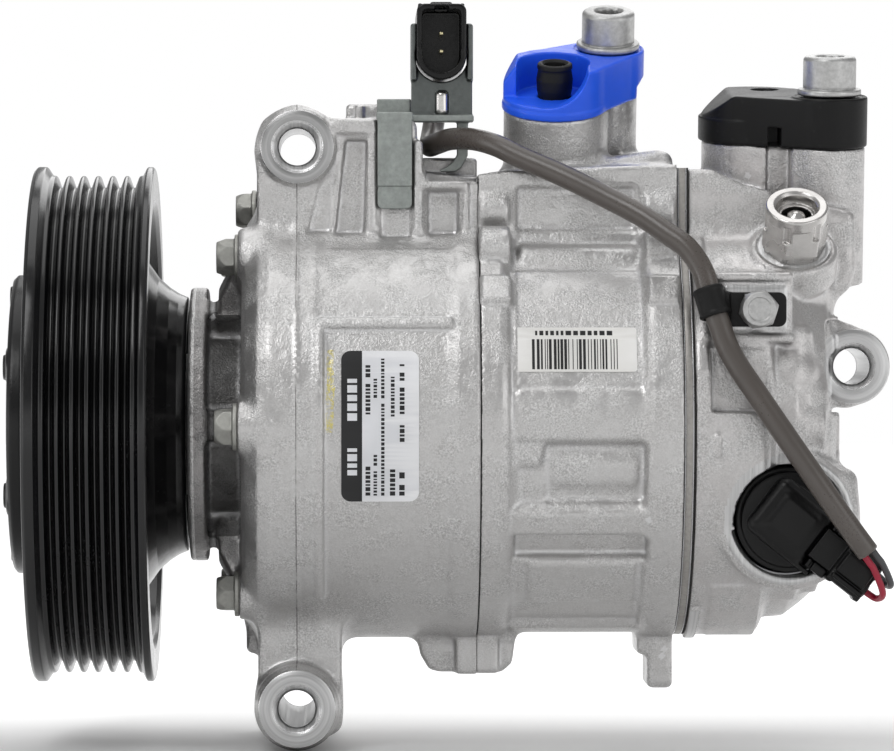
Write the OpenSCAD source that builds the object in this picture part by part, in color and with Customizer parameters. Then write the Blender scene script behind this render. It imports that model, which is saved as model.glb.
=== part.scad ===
// Automotive air-conditioning compressor: six-cylinder variable swash-plate type,
// driven by a six-rib pulley with a damped torque-limiter plate.
// Frame: the origin is on the shaft axis at the middle of the belt. +X runs along
// the shaft from the pulley to the rear housing, +Z is up to the hose ports.

/* [Pulley] */
// Outer radius of the pulley flanges
pulley_r = 63.5; // [62:0.5:66]
// Radius at the tips of the belt ribs
rib_r = 61.3; // [60.5:0.1:61.8]
// Depth of each belt groove
groove_d = 2.9; // [2.5:0.1:3.2]
// Radius of the limiter plate in front of the pulley
hub_plate_r = 36.5; // [35:0.5:40]

/* [Body] */
// Radius of the front housing barrel
front_r = 53.5; // [52.5:0.5:56]
// Radius of the cylinder block flanges
block_r = 53; // [53:0.25:54]
// Radius of the cylinder block between its flanges
waist_r = 50.6; // [50.5:0.1:51.5]
// Radius of the rear housing
rear_r = 52; // [51.5:0.5:53]
// Joint face between front housing and cylinder block
seam_x = 93; // [93:0.5:94]
// Rear face of the cylinder block
block_x = 141; // [141:0.5:141.5]

/* [Pump] */
// Radius of the circle that the cylinders lie on
bore_circle_r = 33.5; // [33.3:0.1:33.7]
// Cylinder bore radius
bore_r = 14.5; // [14.4:0.05:14.5]
// Piston radius
piston_r = 14.45; // [14.3:0.05:14.45]
// Shaft radius
shaft_r = 8; // [7.9:0.05:8]
// Swash plate radius
swash_r = 41.5; // [40.5:0.5:41.5]
// Swash plate thickness
swash_t = 8; // [7:0.5:8]
// Middle plane of the swash plate at its smallest displacement
swash_x = 88; // [87.5:0.25:88]
// Radius of the circle of through-bolts
bolt_circle_r = 47; // [46.9:0.1:47.2]

/* [Mounting] */
// Radius of the lug bores
lug_bore_r = 4.5; // [4.2:0.1:5]
// Radius of the lug bosses
lug_r = 10; // [9.5:0.25:10.5]

/* [Hose ports] */
// Lean of the suction port axis toward -Y
suction_lean = 18.5; // [18:0.5:19]
// Radius of the suction port bore
suction_r = 9; // [8:0.25:9]
// Lean of the discharge port axis toward -Y
discharge_lean = 9; // [8.5:0.5:9.5]
// Radius of the discharge port bore
discharge_r = 7.5; // [7:0.25:7.5]

/* [Lead] */
// Radius of the lead's sheath
lead_r = 2.7; // [2.6:0.1:3]

/* [Hidden] */
$fn = 96;

pitch = 3.56;                      // rib pitch of the belt profile
front_x = 36;                      // front face of the front housing barrel
piston_ang = [30, 90, 150, 210, 270, 330];
bolt_ang = [0, 60, 120, 180, 240, 300];
crown_x = 139.8;                   // piston crowns at the smallest displacement
lug_x = 49.2;                      // front lug bores
lug_top_z = 67.4;
lug_low_z = -67.9;
rear_lug = [185, 14.3];
ps = [112.2, -8, 77.9];            // suction port centre on its face
sl = suction_lean;
dl = discharge_lean;
sb = [13.7, 13.5];                 // suction port bolt, on the port's face
db = [17.2, -14.2];                // discharge port bolt, on the port's face
bs = ps + [sb[0], sb[1] * cos(sl), sb[1] * sin(sl)];
pd = [162.4, 4, 70.7];             // discharge port centre on its face
bd = pd + [db[0], db[1] * cos(dl), db[1] * sin(dl)];
ecv = [165.8, -21.8];              // control valve axis, along Y
ecv_ang = 38;                      // plug direction below +X
rv = [169.2, -30, 42.1];           // relief valve seat centre
rv_lean = 38;                      // relief valve axis, toward -Y
pad = [159, 27.9];                 // P-clip bolt
// route of the lead, from the plug end to the connector
route = [[184, -60, -29.5], [180.3, -60.2, -24.5], [175.1, -60, -17.2], [170.6, -59.2, -10.6], [166.1, -58, -4],
  [162, -56.6, 2.1], [158.1, -55.3, 8], [154.4, -53.6, 13.6], [151.4, -52, 19.2], [149.4, -50.9, 25],
  [147.8, -49.8, 29.6], [146, -48.7, 36.6], [142.4, -46.8, 42.4], [137.8, -44.6, 46], [131.2, -41, 50.7],
  [122.1, -36.5, 55.7], [112.6, -32.6, 60.6], [103.2, -28, 64.9], [97.4, -24.4, 67.9], [92, -19.6, 69.6], [86.8, -14, 69.9],
  [83.4, -8, 69.1], [82, -1, 68.8], [81.9, 6, 69.4], [82.4, 12.6, 71.8], [83.2, 17.8, 76.4], [84, 20.8, 82.4], [84.6, 21.8, 88.2], [84.6, 21.2, 93], [84.6, 19, 94.6], [84.6, 16, 94.6]];

module cx(r, x0, x1) translate([x0, 0, 0]) rotate([0, 90, 0]) cylinder(r = r, h = x1 - x0);
module cxa(r, x0, x1, y, z) translate([x0, y, z]) rotate([0, 90, 0]) cylinder(r = r, h = x1 - x0);
module cy(r, x, z, y0, y1) translate([x, y0, z]) rotate([-90, 0, 0]) cylinder(r = r, h = y1 - y0);
module conex(r0, r1, x0, x1) translate([x0, 0, 0]) rotate([0, 90, 0]) cylinder(r1 = r0, r2 = r1, h = x1 - x0);
// profile of [radius, x] points turned about the shaft axis
module turn(p) rotate([0, 90, 0]) rotate_extrude($fn = 160) polygon(p);
module ringx(r0, r1, x0, x1) turn([[r0, x0], [r1, x0], [r1, x1], [r0, x1]]);
module blk(x0, x1, y0, y1, z0, z1) translate([x0, y0, z0]) cube([x1 - x0, y1 - y0, z1 - z0]);
// outline in X and Z, from y0 to y1
module plate(p, y0, y1) translate([0, y1, 0]) rotate([90, 0, 0]) linear_extrude(y1 - y0) polygon(p);
module at(ang, r, x) translate([x, r * cos(ang), r * sin(ang)]) children();
// local frame with +Z along an axis that leans toward -Y
module leaned(p, a) translate(p) rotate([a, 0, 0]) children();
// outline that joins a circle of radius ra to one of radius rb at c, a little inside their common tangents
function bridge(ra, c, rb) = let (r0 = ra - 0.2, r1 = rb - 0.2, l = norm(c), t = atan2(c[1], c[0]), a = acos((r0 - r1) / l))
  [r0 * [cos(t + a), sin(t + a)], c + r1 * [cos(t + a), sin(t + a)], c + r1 * [cos(t - a), sin(t - a)], r0 * [cos(t - a), sin(t - a)]];
module hexhead(af, h) cylinder(d = af / cos(30), h = h, $fn = 6);

// ---------- drive line ----------
// one belt groove between two rib tips
function groove(i) = [[rib_r, pitch * i + 0.35], [rib_r - groove_d, pitch * i + 1.43], [rib_r - groove_d, pitch * (i + 1) - 1.43], [rib_r, pitch * (i + 1) - 0.35]];
module pulley() color([0.05, 0.05, 0.06]) difference() {
  turn(concat(
    [[pulley_r - 0.8, -15.4], [pulley_r, -14.6], [pulley_r, -12.4], [rib_r, -11.1]],
    [for (i = [-3:2]) each groove(i)],
    [[rib_r, 11], [pulley_r, 12], [pulley_r, 13.4], [pulley_r - 0.6, 14],
     [55.5, 14], [54.5, 13], [54, 9], [48, 9.5], [41, 11.5], [36, 15], [33.6, 17.8], [32.2, 20], [31.3, 22.2],
     [27.5, 22.2], [27.5, 0], [25, 0], [25, -6], [20, -6], [20, -13], [21, -14], [36, -14], [38, -12.5], [38.5, -2],
     [41, 2], [47, 4.5], [53.5, 4], [54.5, -1], [54.5, -12], [56.5, -15.4]]));
  for (k = [0:5]) at(33 + 60 * k + 180, 31, 0) cxa(4.6, -15, -8.5, 0, 0);
}
module rubber_dampers() color([0.03, 0.03, 0.03]) for (k = [0:5]) at(33 + 60 * k + 180, 31, 0) difference() {
  cxa(4.6, -16.6, -8.5, 0, 0);
  cxa(2.2, -17, -10.2, 0, 0);
}
module hub_plate() color([0.07, 0.07, 0.08]) difference() {
  turn([[6.5, -14.6], [13, -14.6], [15.5, -20.6], [34.9, -20.6], [hub_plate_r, -19.6], [hub_plate_r, -16.9],
    [35.7, -16.6], [15, -16.6], [11, -13], [11, -3.5], [6.5, -3.5]]);
  for (k = [0:5]) at(33 + 60 * k + 180, 31, 0) cxa(2.2, -21, -16, 0, 0);
  for (k = [0:5]) at(3 + 60 * k + 180, 25, 0) cxa(3.2, -21, -16, 0, 0);
}
module drive_pins() color([0.09, 0.09, 0.1]) for (k = [0:5]) at(33 + 60 * k + 180, 31, 0) {
  cxa(2.2, -20.6, -10.2, 0, 0);
  translate([-21.7, 0, 0]) rotate([0, 90, 0]) cylinder(r1 = 2.9, r2 = 3.4, h = 1.1);
}
module shaft_nut() color([0.55, 0.55, 0.56]) difference() {
  union() {
    translate([-20.4, 0, 0]) rotate([0, 90, 0]) hexhead(14, 4.6);
    cx(9.6, -15.8, -14.6);
  }
  cx(4, -21, -14);
}
module bearing_outer_ring() color([0.72, 0.72, 0.74]) {
  difference() {
    ringx(24, 27.5, 0.2, 20);
    translate([10, 0, 0]) rotate([0, 90, 0]) rotate_extrude($fn = 160) translate([22.5, 0]) circle(r = 3.35, $fn = 48);
  }
  ringx(21.15, 24, 0.8, 1.4);
  ringx(21.15, 24, 18.8, 19.4);
}
module bearing_balls() {
  color([0.8, 0.8, 0.82]) for (k = [0:11]) at(k * 30, 22.5, 10) sphere(r = 3.2, $fn = 32);
  color([0.75, 0.62, 0.3]) difference() {
    ringx(21.9, 23.1, 6, 14);
    for (k = [0:11]) at(k * 30, 22.5, 10) sphere(r = 3.3, $fn = 32);
  }
}
module bearing_inner_ring() color([0.72, 0.72, 0.74]) difference() {
  ringx(17.5, 21, 0.2, 20);
  translate([10, 0, 0]) rotate([0, 90, 0]) rotate_extrude($fn = 160) translate([22.5, 0]) circle(r = 3.35, $fn = 48);
}
module nose_circlip() color([0.4, 0.4, 0.42]) difference() {
  union() { ringx(16.6, 19.4, -1.2, 0.2); blk(-1.2, 0.2, -3.5, 3.5, 18, 21); }
  blk(-2, 1, -1.5, 1.5, 10, 25);
}
module shaft_seal() {
  color([0.5, 0.5, 0.52]) ringx(11.2, 12.9, 8, 16);
  color([0.03, 0.03, 0.03]) turn([[8.04, 9.2], [9.2, 9], [11.2, 8.2], [11.2, 15.6], [9.6, 15.6], [9, 11.4], [8.04, 10.4]]);
}
module front_shaft_bush() color([0.6, 0.45, 0.25]) ringx(shaft_r + 0.03, 10, 24, 41);
module rear_shaft_bush() color([0.6, 0.45, 0.25]) ringx(shaft_r + 0.03, 10, 104, 124);
module thrust_race() color([0.6, 0.6, 0.62]) ringx(12, 22, 42, 43);
module thrust_rollers() {
  color([0.8, 0.8, 0.82]) for (k = [0:15]) rotate([22.5 * k, 0, 0]) translate([44.05, 0, 15]) cylinder(r = 0.98, h = 5.6, $fn = 24);
  color([0.7, 0.6, 0.3]) difference() {
    ringx(13.2, 21.6, 43.5, 44.6);
    for (k = [0:15]) rotate([22.5 * k, 0, 0]) translate([44.05, 0, 14.9]) cylinder(r = 1.04, h = 5.8, $fn = 24);
  }
}
module drive_shaft() color([0.6, 0.6, 0.62]) {
  turn([[0, -19.4], [3.4, -19.4], [4, -18.8], [4, -14.6], [6.5, -14.6], [6.5, -3], [shaft_r, -1.6], [shaft_r, 126], [7, 127], [0, 127]]);
}
module lug_plate() color([0.5, 0.5, 0.52]) difference() {
  union() {
    turn([[shaft_r, 45.1], [23, 45.1], [24, 46], [36.5, 46], [38, 47.2], [38, 49.5], [37, 50.3], [15, 50.3], [14.5, 54.4], [shaft_r, 54.4]]);
    for (s = [-1, 1]) blk(49, 54.6, s * 11 - 2.5, s * 11 + 2.5, 19, 33);
    turn_sector();
  }
  for (k = [0:5]) at(30 + 60 * k, 29, 45) cxa(3.4, 0, 6, 0, 0);
}
// balance weight opposite the lug ears
module turn_sector() intersection() {
  ringx(24, 34, 50, 54.6);
  blk(49, 55, -20, 20, -40, -12);
}
function coil(r, x0, x1, n, steps) = [for (i = [0:steps]) let (t = i / steps, a = 360 * n * t)
  [x0 + (x1 - x0) * t, r * cos(a), r * sin(a)]];
function vsub(a, b) = [a[0] - b[0], a[1] - b[1], a[2] - b[2]];
function unit(v) = v / norm(v);
function frame_u(t) = unit(abs(t[2]) < 0.9 ? cross(t, [0, 0, 1]) : cross(t, [0, 1, 0]));
// tube swept along points p
module sweep(p, r, s) {
  n = len(p);
  tan_ = [for (i = [0:n - 1]) unit(vsub(p[min(i + 1, n - 1)], p[max(i - 1, 0)]))];
  // a reference direction that never lines up with the route keeps the rings from twisting
  rings = [for (i = [0:n - 1]) let (t = tan_[i], u = unit(cross(t, [0.18, 0.97, 0.16])), v = cross(t, u))
    for (k = [0:s - 1]) p[i] + r * cos(360 * k / s) * u + r * sin(360 * k / s) * v];
  polyhedron(points = rings, faces = concat(
    [[for (k = [0:s - 1]) k]],
    [[for (k = [0:s - 1]) (n - 1) * s + s - 1 - k]],
    [for (i = [0:n - 2]) for (k = [0:s - 1]) each [[i * s + k, (i + 1) * s + k, (i + 1) * s + (k + 1) % s], [i * s + k, (i + 1) * s + (k + 1) % s, i * s + (k + 1) % s]]]));
}
module sweepx(p, r, s) {
  n = len(p);
  tan_ = [for (i = [0:n - 1]) unit(vsub(p[min(i + 1, n - 1)], p[max(i - 1, 0)]))];
  rings = [for (i = [0:n - 1]) let (t = tan_[i], u = unit(cross(t, [1, 0, 0])), v = cross(t, u))
    for (k = [0:s - 1]) p[i] + r * cos(360 * k / s) * u + r * sin(360 * k / s) * v];
  polyhedron(points = rings, faces = concat(
    [[for (k = [0:s - 1]) k]],
    [[for (k = [0:s - 1]) (n - 1) * s + s - 1 - k]],
    [for (i = [0:n - 2]) for (k = [0:s - 1]) each [[i * s + k, (i + 1) * s + k, (i + 1) * s + (k + 1) % s], [i * s + k, (i + 1) * s + (k + 1) % s, i * s + (k + 1) % s]]]));
}
module destroke_spring() color([0.45, 0.45, 0.47]) sweepx(coil(10.2, 55.6, swash_x - 11.1, 5, 70), 1, 8);
module swash_sleeve() color([0.62, 0.6, 0.55]) difference() {
  cx(12.1, swash_x - 10, swash_x + 10);
  cx(shaft_r + 0.04, swash_x - 11, swash_x + 11);
  cy(3.05, swash_x, 0, -13, 13);
}
module swash_plate() color([0.55, 0.56, 0.57]) {
  difference() {
    union() {
      cx(swash_r, swash_x - swash_t / 2, swash_x + swash_t / 2);
      cx(17.3, swash_x - 6, swash_x + 6);
      for (s = [-1, 1]) plate([for (q = [[-3, 8], [-3, 17], [-14, 17], [-22, 23], [-26, 28.5], [-31, 28.5], [-31, 22], [-24, 16], [-12, 12.9], [-6, 12.9]]) [swash_x + q[0], q[1]]], s * 6 - 2.5, s * 6 + 2.5);
    }
    cx(15, swash_x - 12, swash_x + 12);
    for (s = [-1, 1]) cy(3, swash_x, 0, s * 14.5 - 3, s * 14.5 + 3);
  }
  for (s = [-1, 1]) cy(3, swash_x, 0, s * 13 - 4.2, s * 13 + 4.2);
}
// piston: round head, and a claw that reaches round the rim of the swash plate
module piston(a) {
  c = bore_circle_r;
  color([0.72, 0.73, 0.75]) difference() {
    at(a, c, 0) cxa(piston_r, swash_x - 12, crown_x, 0, 0);
    // room for the two shoes and for the plate as it tilts
    intersection() {
      at(a, c, swash_x) rotate([0, 90, 0]) rotate_extrude() polygon([[0, -4.5], [30, -14.7], [30, 14.7], [0, 4.5]]);
      cx(42.4, swash_x - 15, swash_x + 15);
    }
    at(a, c, swash_x) rotate([0, 90, 0]) sphere(r = 8.05);
    // the claw leaves the middle of the chamber free
    cx(19.4, swash_x - 13, swash_x + 20);
    // weight-saving pocket on the side toward the shaft
    rotate([a, 0, 0]) blk(swash_x + 20, crown_x - 10, 10, c + 6, -8, 8);
    // ring groove
    at(a, c, 0) difference() { cxa(15.5, crown_x - 5, crown_x - 3.4, 0, 0); cxa(12.8, crown_x - 6, crown_x - 3, 0, 0); }
  }
  color([0.1, 0.1, 0.1]) at(a, c, 0) difference() { cxa(14.47, crown_x - 4.9, crown_x - 3.5, 0, 0); cxa(12.9, crown_x - 6, crown_x - 3, 0, 0); }
}
module shoes(a) color([0.75, 0.72, 0.6]) at(a, bore_circle_r, swash_x) for (s = [-1, 1]) intersection() {
  rotate([0, 90, 0]) sphere(r = 8);
  translate([s > 0 ? swash_t / 2 + 0.14 : -9, -9, -9]) cube([9 - swash_t / 2 - 0.14, 18, 18]);
}
module piston_1() piston(piston_ang[0]);
module piston_2() piston(piston_ang[1]);
module piston_3() piston(piston_ang[2]);
module piston_4() piston(piston_ang[3]);
module piston_5() piston(piston_ang[4]);
module piston_6() piston(piston_ang[5]);
module shoes_1() shoes(piston_ang[0]);
module shoes_2() shoes(piston_ang[1]);
module shoes_3() shoes(piston_ang[2]);
module shoes_4() shoes(piston_ang[3]);
module shoes_5() shoes(piston_ang[4]);
module shoes_6() shoes(piston_ang[5]);

// ---------- housings ----------
module bolt_holes(x0, x1, r) {
  for (a = bolt_ang) at(a, bolt_circle_r, 0) cxa(r, x0, x1, 0, 0);
}
module top_bolt(r, x0, x1) cxa(r, x0, x1, 17.5, 53.2);
module front_housing() color([0.73, 0.73, 0.74]) difference() {
  union() {
    // nose for the pulley bearing, neck ring, barrel
    cx(17.5, -3, 24);
    turn([[10, 20.2], [24, 20.2], [24, 22.8], [33.7, 22.8], [33.7, 27.6], [29, 28.4], [29, 33], [34, front_x], [49, front_x], [front_r, 41], [front_r, seam_x], [10, seam_x]]);
    // webs behind the neck ring
    for (k = [0:5]) rotate([60 * k + 30, 0, 0]) blk(24, 37, 20, 44, -3.5, 3.5);
    for (a = bolt_ang) at(a, bolt_circle_r, 0) cxa(6.2, 35.2, 44, 0, 0);
    // upper web, its lug, and the gallery block toward the seam
    plate([[39, 20], [39, 72], [42, 76], [49, 77.2], [57, 74.2], [78.2, 74.2], [78.2, 62.5], [seam_x, 62.5], [seam_x, 20]], -26, 24);
    cy(lug_r, lug_x, lug_top_z, -28, 6);
    blk(61, 77.5, 4, 24, 70, 79.4);
    // lower lug
    plate([[39, -40], [39, -68], [lug_x + 10.5, -68], [lug_x + 10.5, -60], [65, -52], [65, -40]], -26, 26);
    cy(lug_r + 0.4, lug_x, lug_low_z, -37, 37);
    // lower boss that the seam divides
    plate([[78, -50], [80, -59], [82, -61], [seam_x, -61], [seam_x, -50]], -9, 9);
    // small boss for the top bolt
    cxa(5.5, 38.6, 60, 17.5, 53.2);
    // strengthening ribs along the barrel, on the side away from the label
    for (a = [20, -20, 50, -50]) rotate([a, 0, 0]) blk(50, seam_x, 50, front_r + 1.6, -1.6, 1.6);
  }
  // crank chamber
  cx(48.4, 42, seam_x + 1);
  cx(11.5, 40.6, 43);
  // shaft passage, bush seat, seal pocket, outer end of the nose
  cx(9, 15, 45);
  cx(10, 24, 42);
  cx(12.9, -4, 16);
  // circlip groove on the nose
  difference() { cx(20, -1.2, 0.2); cx(16.6, -2, 1); }
  bolt_holes(30, 100, 3.4);
  top_bolt(3.4, 30, 100);
  cy(lug_bore_r, lug_x, lug_top_z, -40, 20);
  cy(lug_bore_r, lug_x, lug_low_z, -50, 50);
  cy(lug_bore_r + 1.6, lug_x, lug_top_z, -40, -26.6);
  cy(lug_bore_r + 1.4, lug_x, lug_low_z, -50, -36);
  // clear way through the upper lug, and a hollow behind the web
  blk(38, 58.5, 6, 30, 59.5, 80);
  blk(58, 74, 6, 30, 57, 68);
  // room for the flange of the top bolt
  top_bolt(5.8, 30, 38.6);
}
module housing_seal() color([0.02, 0.02, 0.02]) ringx(50.6, 52.2, seam_x, seam_x + 1.2);
// port tower in its own leaned frame: port part, bolt part and what joins them
module tower(r0, c, r1) translate([0, 0, -34]) {
  cylinder(r = r0, h = 34);
  translate([c[0], c[1], 0]) cylinder(r = r1, h = 34);
  linear_extrude(34) polygon(bridge(r0, c, r1));
}
module cylinder_block() color([0.74, 0.74, 0.75]) difference() {
  union() {
    turn([[0, seam_x], [block_r, seam_x], [block_r, 99], [waist_r, 100], [waist_r, 132], [block_r, 133], [block_r, block_x], [0, block_x]]);
    plate([[seam_x, 20], [seam_x, 61], [100, 62], [133, 63.5], [block_x, 63.5], [block_x, 20]], -26, 24);
    // suction tower
    leaned(ps, sl) tower(12.4, sb, 6.6);
    plate([[seam_x, -50], [seam_x, -61], [101, -61], [103, -59], [105, -48]], -9, 9);
    blk(133, block_x, -10, 10, -65, -46);
    for (a = [0, 40, -40]) rotate([a, 0, 0]) blk(98, 134, 46, block_r - 0.6, -1.8, 1.8);
  }
  for (a = piston_ang) at(a, bore_circle_r, 0) cxa(bore_r, 90, 145, 0, 0);
  cx(8.4, 90, 130);
  cx(10, 104, 124);
  cx(17.9, 92, 95.6);
  cx(14.5, 92, 100);
  // room for the rim of the swash plate at full tilt
  cx(42.3, 90, 95.2);
  // groove for the front seal
  ringx(50.6, 52.2, seam_x - 1, seam_x + 1.2);
  bolt_holes(90, 150, 3.4);
  top_bolt(3.4, 90, 150);
  // suction passage and threaded hole
  leaned(ps, sl) translate([0, 0, -26]) cylinder(r = suction_r, h = 30);
  leaned(bs, sl) translate([0, 0, -18]) cylinder(r = 4, h = 22);
}
module gasket_holes() {
  bolt_holes(140, 150, 3.4);
  top_bolt(3.4, 140, 150);
}
module seal_outline(x0, x1) { cx(52, x0, x1); plate_x(x0, x1); }
module plate_x(x0, x1) blk(x0, x1, -25, 23, 30, 62.5);
module valve_gaskets() color([0.12, 0.11, 0.1]) difference() {
  union() { seal_outline(141, 141.4); seal_outline(143.6, 144); }
  for (a = piston_ang) at(a, bore_circle_r, 0) cxa(bore_r, 140, 142, 0, 0);
  cx(9, 140, 146);
  ringx(24, 44, 143, 145);
  gasket_holes();
}
module suction_reed() color([0.6, 0.61, 0.64]) difference() {
  seal_outline(141.4, 141.7);
  // a U-shaped slit frees the tongue over each cylinder
  for (a = piston_ang) rotate([a, 0, 0]) { blk(141, 142, 24, 41, -5.6, -4.6); blk(141, 142, 24, 41, 4.6, 5.6); blk(141, 142, 40, 41, -5.6, 5.6); }
  cx(4, 140, 142);
  gasket_holes();
}
module valve_plate() color([0.66, 0.66, 0.68]) difference() {
  seal_outline(141.7, 143.3);
  for (a = piston_ang) { rotate([a, 0, 0]) cxa(3.2, 140, 145, 36.5, 0); rotate([a, 0, 0]) cxa(3, 140, 145, 28, 0); }
  cx(4, 140, 145);
  gasket_holes();
}
module discharge_reed() color([0.55, 0.56, 0.6]) difference() {
  union() {
    seal_outline(143.3, 143.6);
  }
  for (a = piston_ang) rotate([a, 0, 0]) { blk(143, 144, 22, 33, -4.6, -3.8); blk(143, 144, 22, 33, 3.8, 4.6); blk(143, 144, 32.2, 33, -4.6, 4.6); cxa(3.2, 143, 144, 36.5, 0); }
  cx(4, 140, 145);
  gasket_holes();
}
// the rear housing's outline behind the valve plate
module rear_housing() color([0.73, 0.73, 0.74]) difference() {
  union() {
    turn([[0, 144], [rear_r, 144], [rear_r, 158.5], [47, 161], [47, 170], [43, 172], [43, 176], [36, 179], [0, 179]]);
    plate([[144, 20], [144, 62.5], [150, 63], [188, 45], [188, 34], [179, 30], [179, 20]], -24, 22);
    // discharge tower
    leaned(pd, dl) tower(13, db, 8.9);
    // control valve boss
    cy(17.2, ecv[0], ecv[1], -46, 22);
    // relief valve boss
    leaned(rv, rv_lean) translate([0, 0, -22]) cylinder(r = 10, h = 22);
    // P-clip pad
    blk(151.5, 167, -47.6, -20, 20, 36);
    // rear lug
    cy(9.6, rear_lug[0], rear_lug[1], -14, 20);
    plate([[165, 4.9], [rear_lug[0], 4.8], [rear_lug[0], 24], [177, 28], [165, 28]], -12, 18);
  }
  // discharge chamber in the middle, suction chamber round it
  difference() {
    cx(22, 143, 152);
    cx(6, 143, 160);
  }
  ringx(26, 43.3, 143, 150);
  bolt_holes(140, 157, 3);
  top_bolt(3, 140, 157);
  // port passage and threaded hole
  leaned(pd, dl) translate([0, 0, -24]) cylinder(r = discharge_r, h = 30);
  leaned(bd, dl) translate([0, 0, -18]) cylinder(r = 4, h = 22);
  // control valve bore, stepped
  cy(13.6, ecv[0], ecv[1], -50, -38);
  cy(9.5, ecv[0], ecv[1], -50, 6);
  // relief valve thread
  leaned(rv, rv_lean) translate([0, 0, -9]) cylinder(r = 5, h = 12);
  // P-clip thread
  cy(3, pad[0], pad[1], -60, -34);
  cy(lug_bore_r, rear_lug[0], rear_lug[1], -30, 40);
  cy(lug_bore_r + 1.2, rear_lug[0], rear_lug[1], -30, -13);
}
module through_bolts() color([0.6, 0.6, 0.58]) {
  for (a = bolt_ang) at(a, bolt_circle_r, 0) {
    cxa(3, 35.2, 157, 0, 0);
    cxa(5.6, 34.0, 35.2, 0, 0);
    translate([29.6, 0, 0]) rotate([0, 90, 0]) hexhead(8, 4.4);
  }
  top_bolt(3, 38.6, 157);
  top_bolt(5.2, 37.4, 38.6);
  translate([33.4, 17.5, 53.2]) rotate([0, 90, 0]) hexhead(8, 4);
}

// ---------- control valve ----------
module control_valve_body() color([0.7, 0.68, 0.6]) translate([ecv[0], 0, ecv[1]]) rotate([90, 0, 0]) difference() {
  // local Z runs from the bottom of the bore outward
  rotate_extrude() polygon([[0, -5], [7, -5], [7.6, -4], [9.4, -4], [9.4, 4], [7.6, 4], [7.6, 7], [9.4, 7], [9.4, 15], [7.6, 15], [7.6, 18], [9.4, 18], [9.4, 38], [0, 38]]);
  translate([0, 0, 4]) cylinder(r = 2.6, h = 40);
  for (z = [1, 11]) translate([-12, 0, z]) rotate([0, 90, 0]) cylinder(r = 1.4, h = 24);
  translate([0, 0, 20]) cylinder(r = 4.2, h = 20);
}
module control_valve_plunger() color([0.78, 0.78, 0.8]) translate([ecv[0], 0, ecv[1]]) rotate([90, 0, 0]) {
  translate([0, 0, 6]) cylinder(r = 2.56, h = 15);
  translate([0, 0, 20.4]) cylinder(r = 4.14, h = 13);
}
module control_valve_coil() color([0.03, 0.03, 0.035]) translate([ecv[0], 0, ecv[1]]) rotate([90, 0, 0]) difference() {
  union() {
    translate([0, 0, 38]) cylinder(r = 13.1, h = 8.6);
    // raised connector block, turned toward the plug
    rotate([0, 0, -ecv_ang]) {
      translate([-7, -7.6, 46]) cube([17, 15.2, 5.6]);
      translate([10, -6, 46]) cube([4.5, 12, 5.6]);
    }
  }
  rotate([0, 0, -ecv_ang]) translate([7.5, -4.2, 47.6]) cube([9, 8.4, 6]);
}
module control_valve_ring() color([0.5, 0.5, 0.5]) translate([ecv[0], 0, ecv[1]]) rotate([90, 0, 0]) difference() {
  translate([0, 0, 44]) cylinder(r = 13.6, h = 1.2);
  translate([0, 0, 43]) cylinder(r = 13.1, h = 4);
  rotate([0, 0, -ecv_ang + 180]) translate([0, -3, 43]) cube([20, 6, 4]);
}
module valve_plug() color([0.03, 0.03, 0.035]) translate([ecv[0], 0, ecv[1]]) rotate([90, 0, 0]) rotate([0, 0, -ecv_ang]) difference() {
  union() {
    translate([14.6, -5.4, 46.2]) cube([9.4, 10.8, 7.8]);
    translate([8.2, -4, 47.8]) cube([7, 8, 3.6]);
    translate([15.4, -2.6, 54]) cube([7.6, 5.2, 1.8]);
  }
  for (s = [-1, 1]) translate([20, s * 2.4, 49.8]) rotate([0, 90, 0]) cylinder(r = 1.05, h = 6);
}
// one wire from its hole in the plug, round a short loop, into the sheath
function loop(s) = let (e = ecv_ang, u = [cos(e), 0, -sin(e)], w = [-sin(e), 0, -cos(e)], o = [ecv[0], -49.8, ecv[1]],
    t = unit(vsub(route[0], route[1])), v = unit(w - (w * t) * t))
  [o + 20.2 * u + 2.4 * s * w, o + 25 * u + 2.4 * s * w, o + 27.6 * u + [0, -1.4, 0] + 2 * s * w, [188.9, -55.6, -38] + 1.5 * s * w,
   route[0] + 4.4 * t + [0, 1, 0] + 1.2 * s * v, route[0] + 2 * t + 1.15 * s * v, route[0] + 0.03 * t + 1.15 * s * v];
function smooth(p) = concat([p[0]], [for (i = [0:len(p) - 2]) each [0.75 * p[i] + 0.25 * p[i + 1], 0.25 * p[i] + 0.75 * p[i + 1]]], [p[len(p) - 1]]);
module lead_wires() {
  color([0.5, 0.05, 0.08]) sweep(smooth(loop(1)), 0.8, 8);
  color([0.2, 0.2, 0.2]) sweep(smooth(loop(-1)), 0.8, 8);
}
module lead() color([0.36, 0.33, 0.31]) sweep(smooth(route), lead_r, 10);

// ---------- clips, bracket, top connector ----------
module p_clip() {
  c = route[10];
  d = unit(vsub(route[11], route[9]));
  turned = [0, acos(d[2]), atan2(d[1], d[0])];
  color([0.03, 0.03, 0.03]) difference() {
    union() {
      translate(c) rotate(turned) translate([0, 0, -3.6]) cylinder(r = 4, h = 7.2);
      blk(149, 166, -49, -47.6, 23.6, 32.2);
      blk(149, 152.5, -49.8, -47.6, 25.2, 32.2);
    }
    translate(c) rotate(turned) translate([0, 0, -9]) cylinder(r = lead_r + 0.65, h = 18);
    cy(3.2, pad[0], pad[1], -60, -40);
  }
}
module p_clip_bolt() color([0.7, 0.7, 0.68]) {
  cy(3, pad[0], pad[1], -49, -35);
  translate([pad[0], -49, pad[1]]) rotate([90, 0, 0]) rotate([0, 0, 12]) hexhead(8, 4);
  cy(5, pad[0], pad[1], -50, -49);
}
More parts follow.
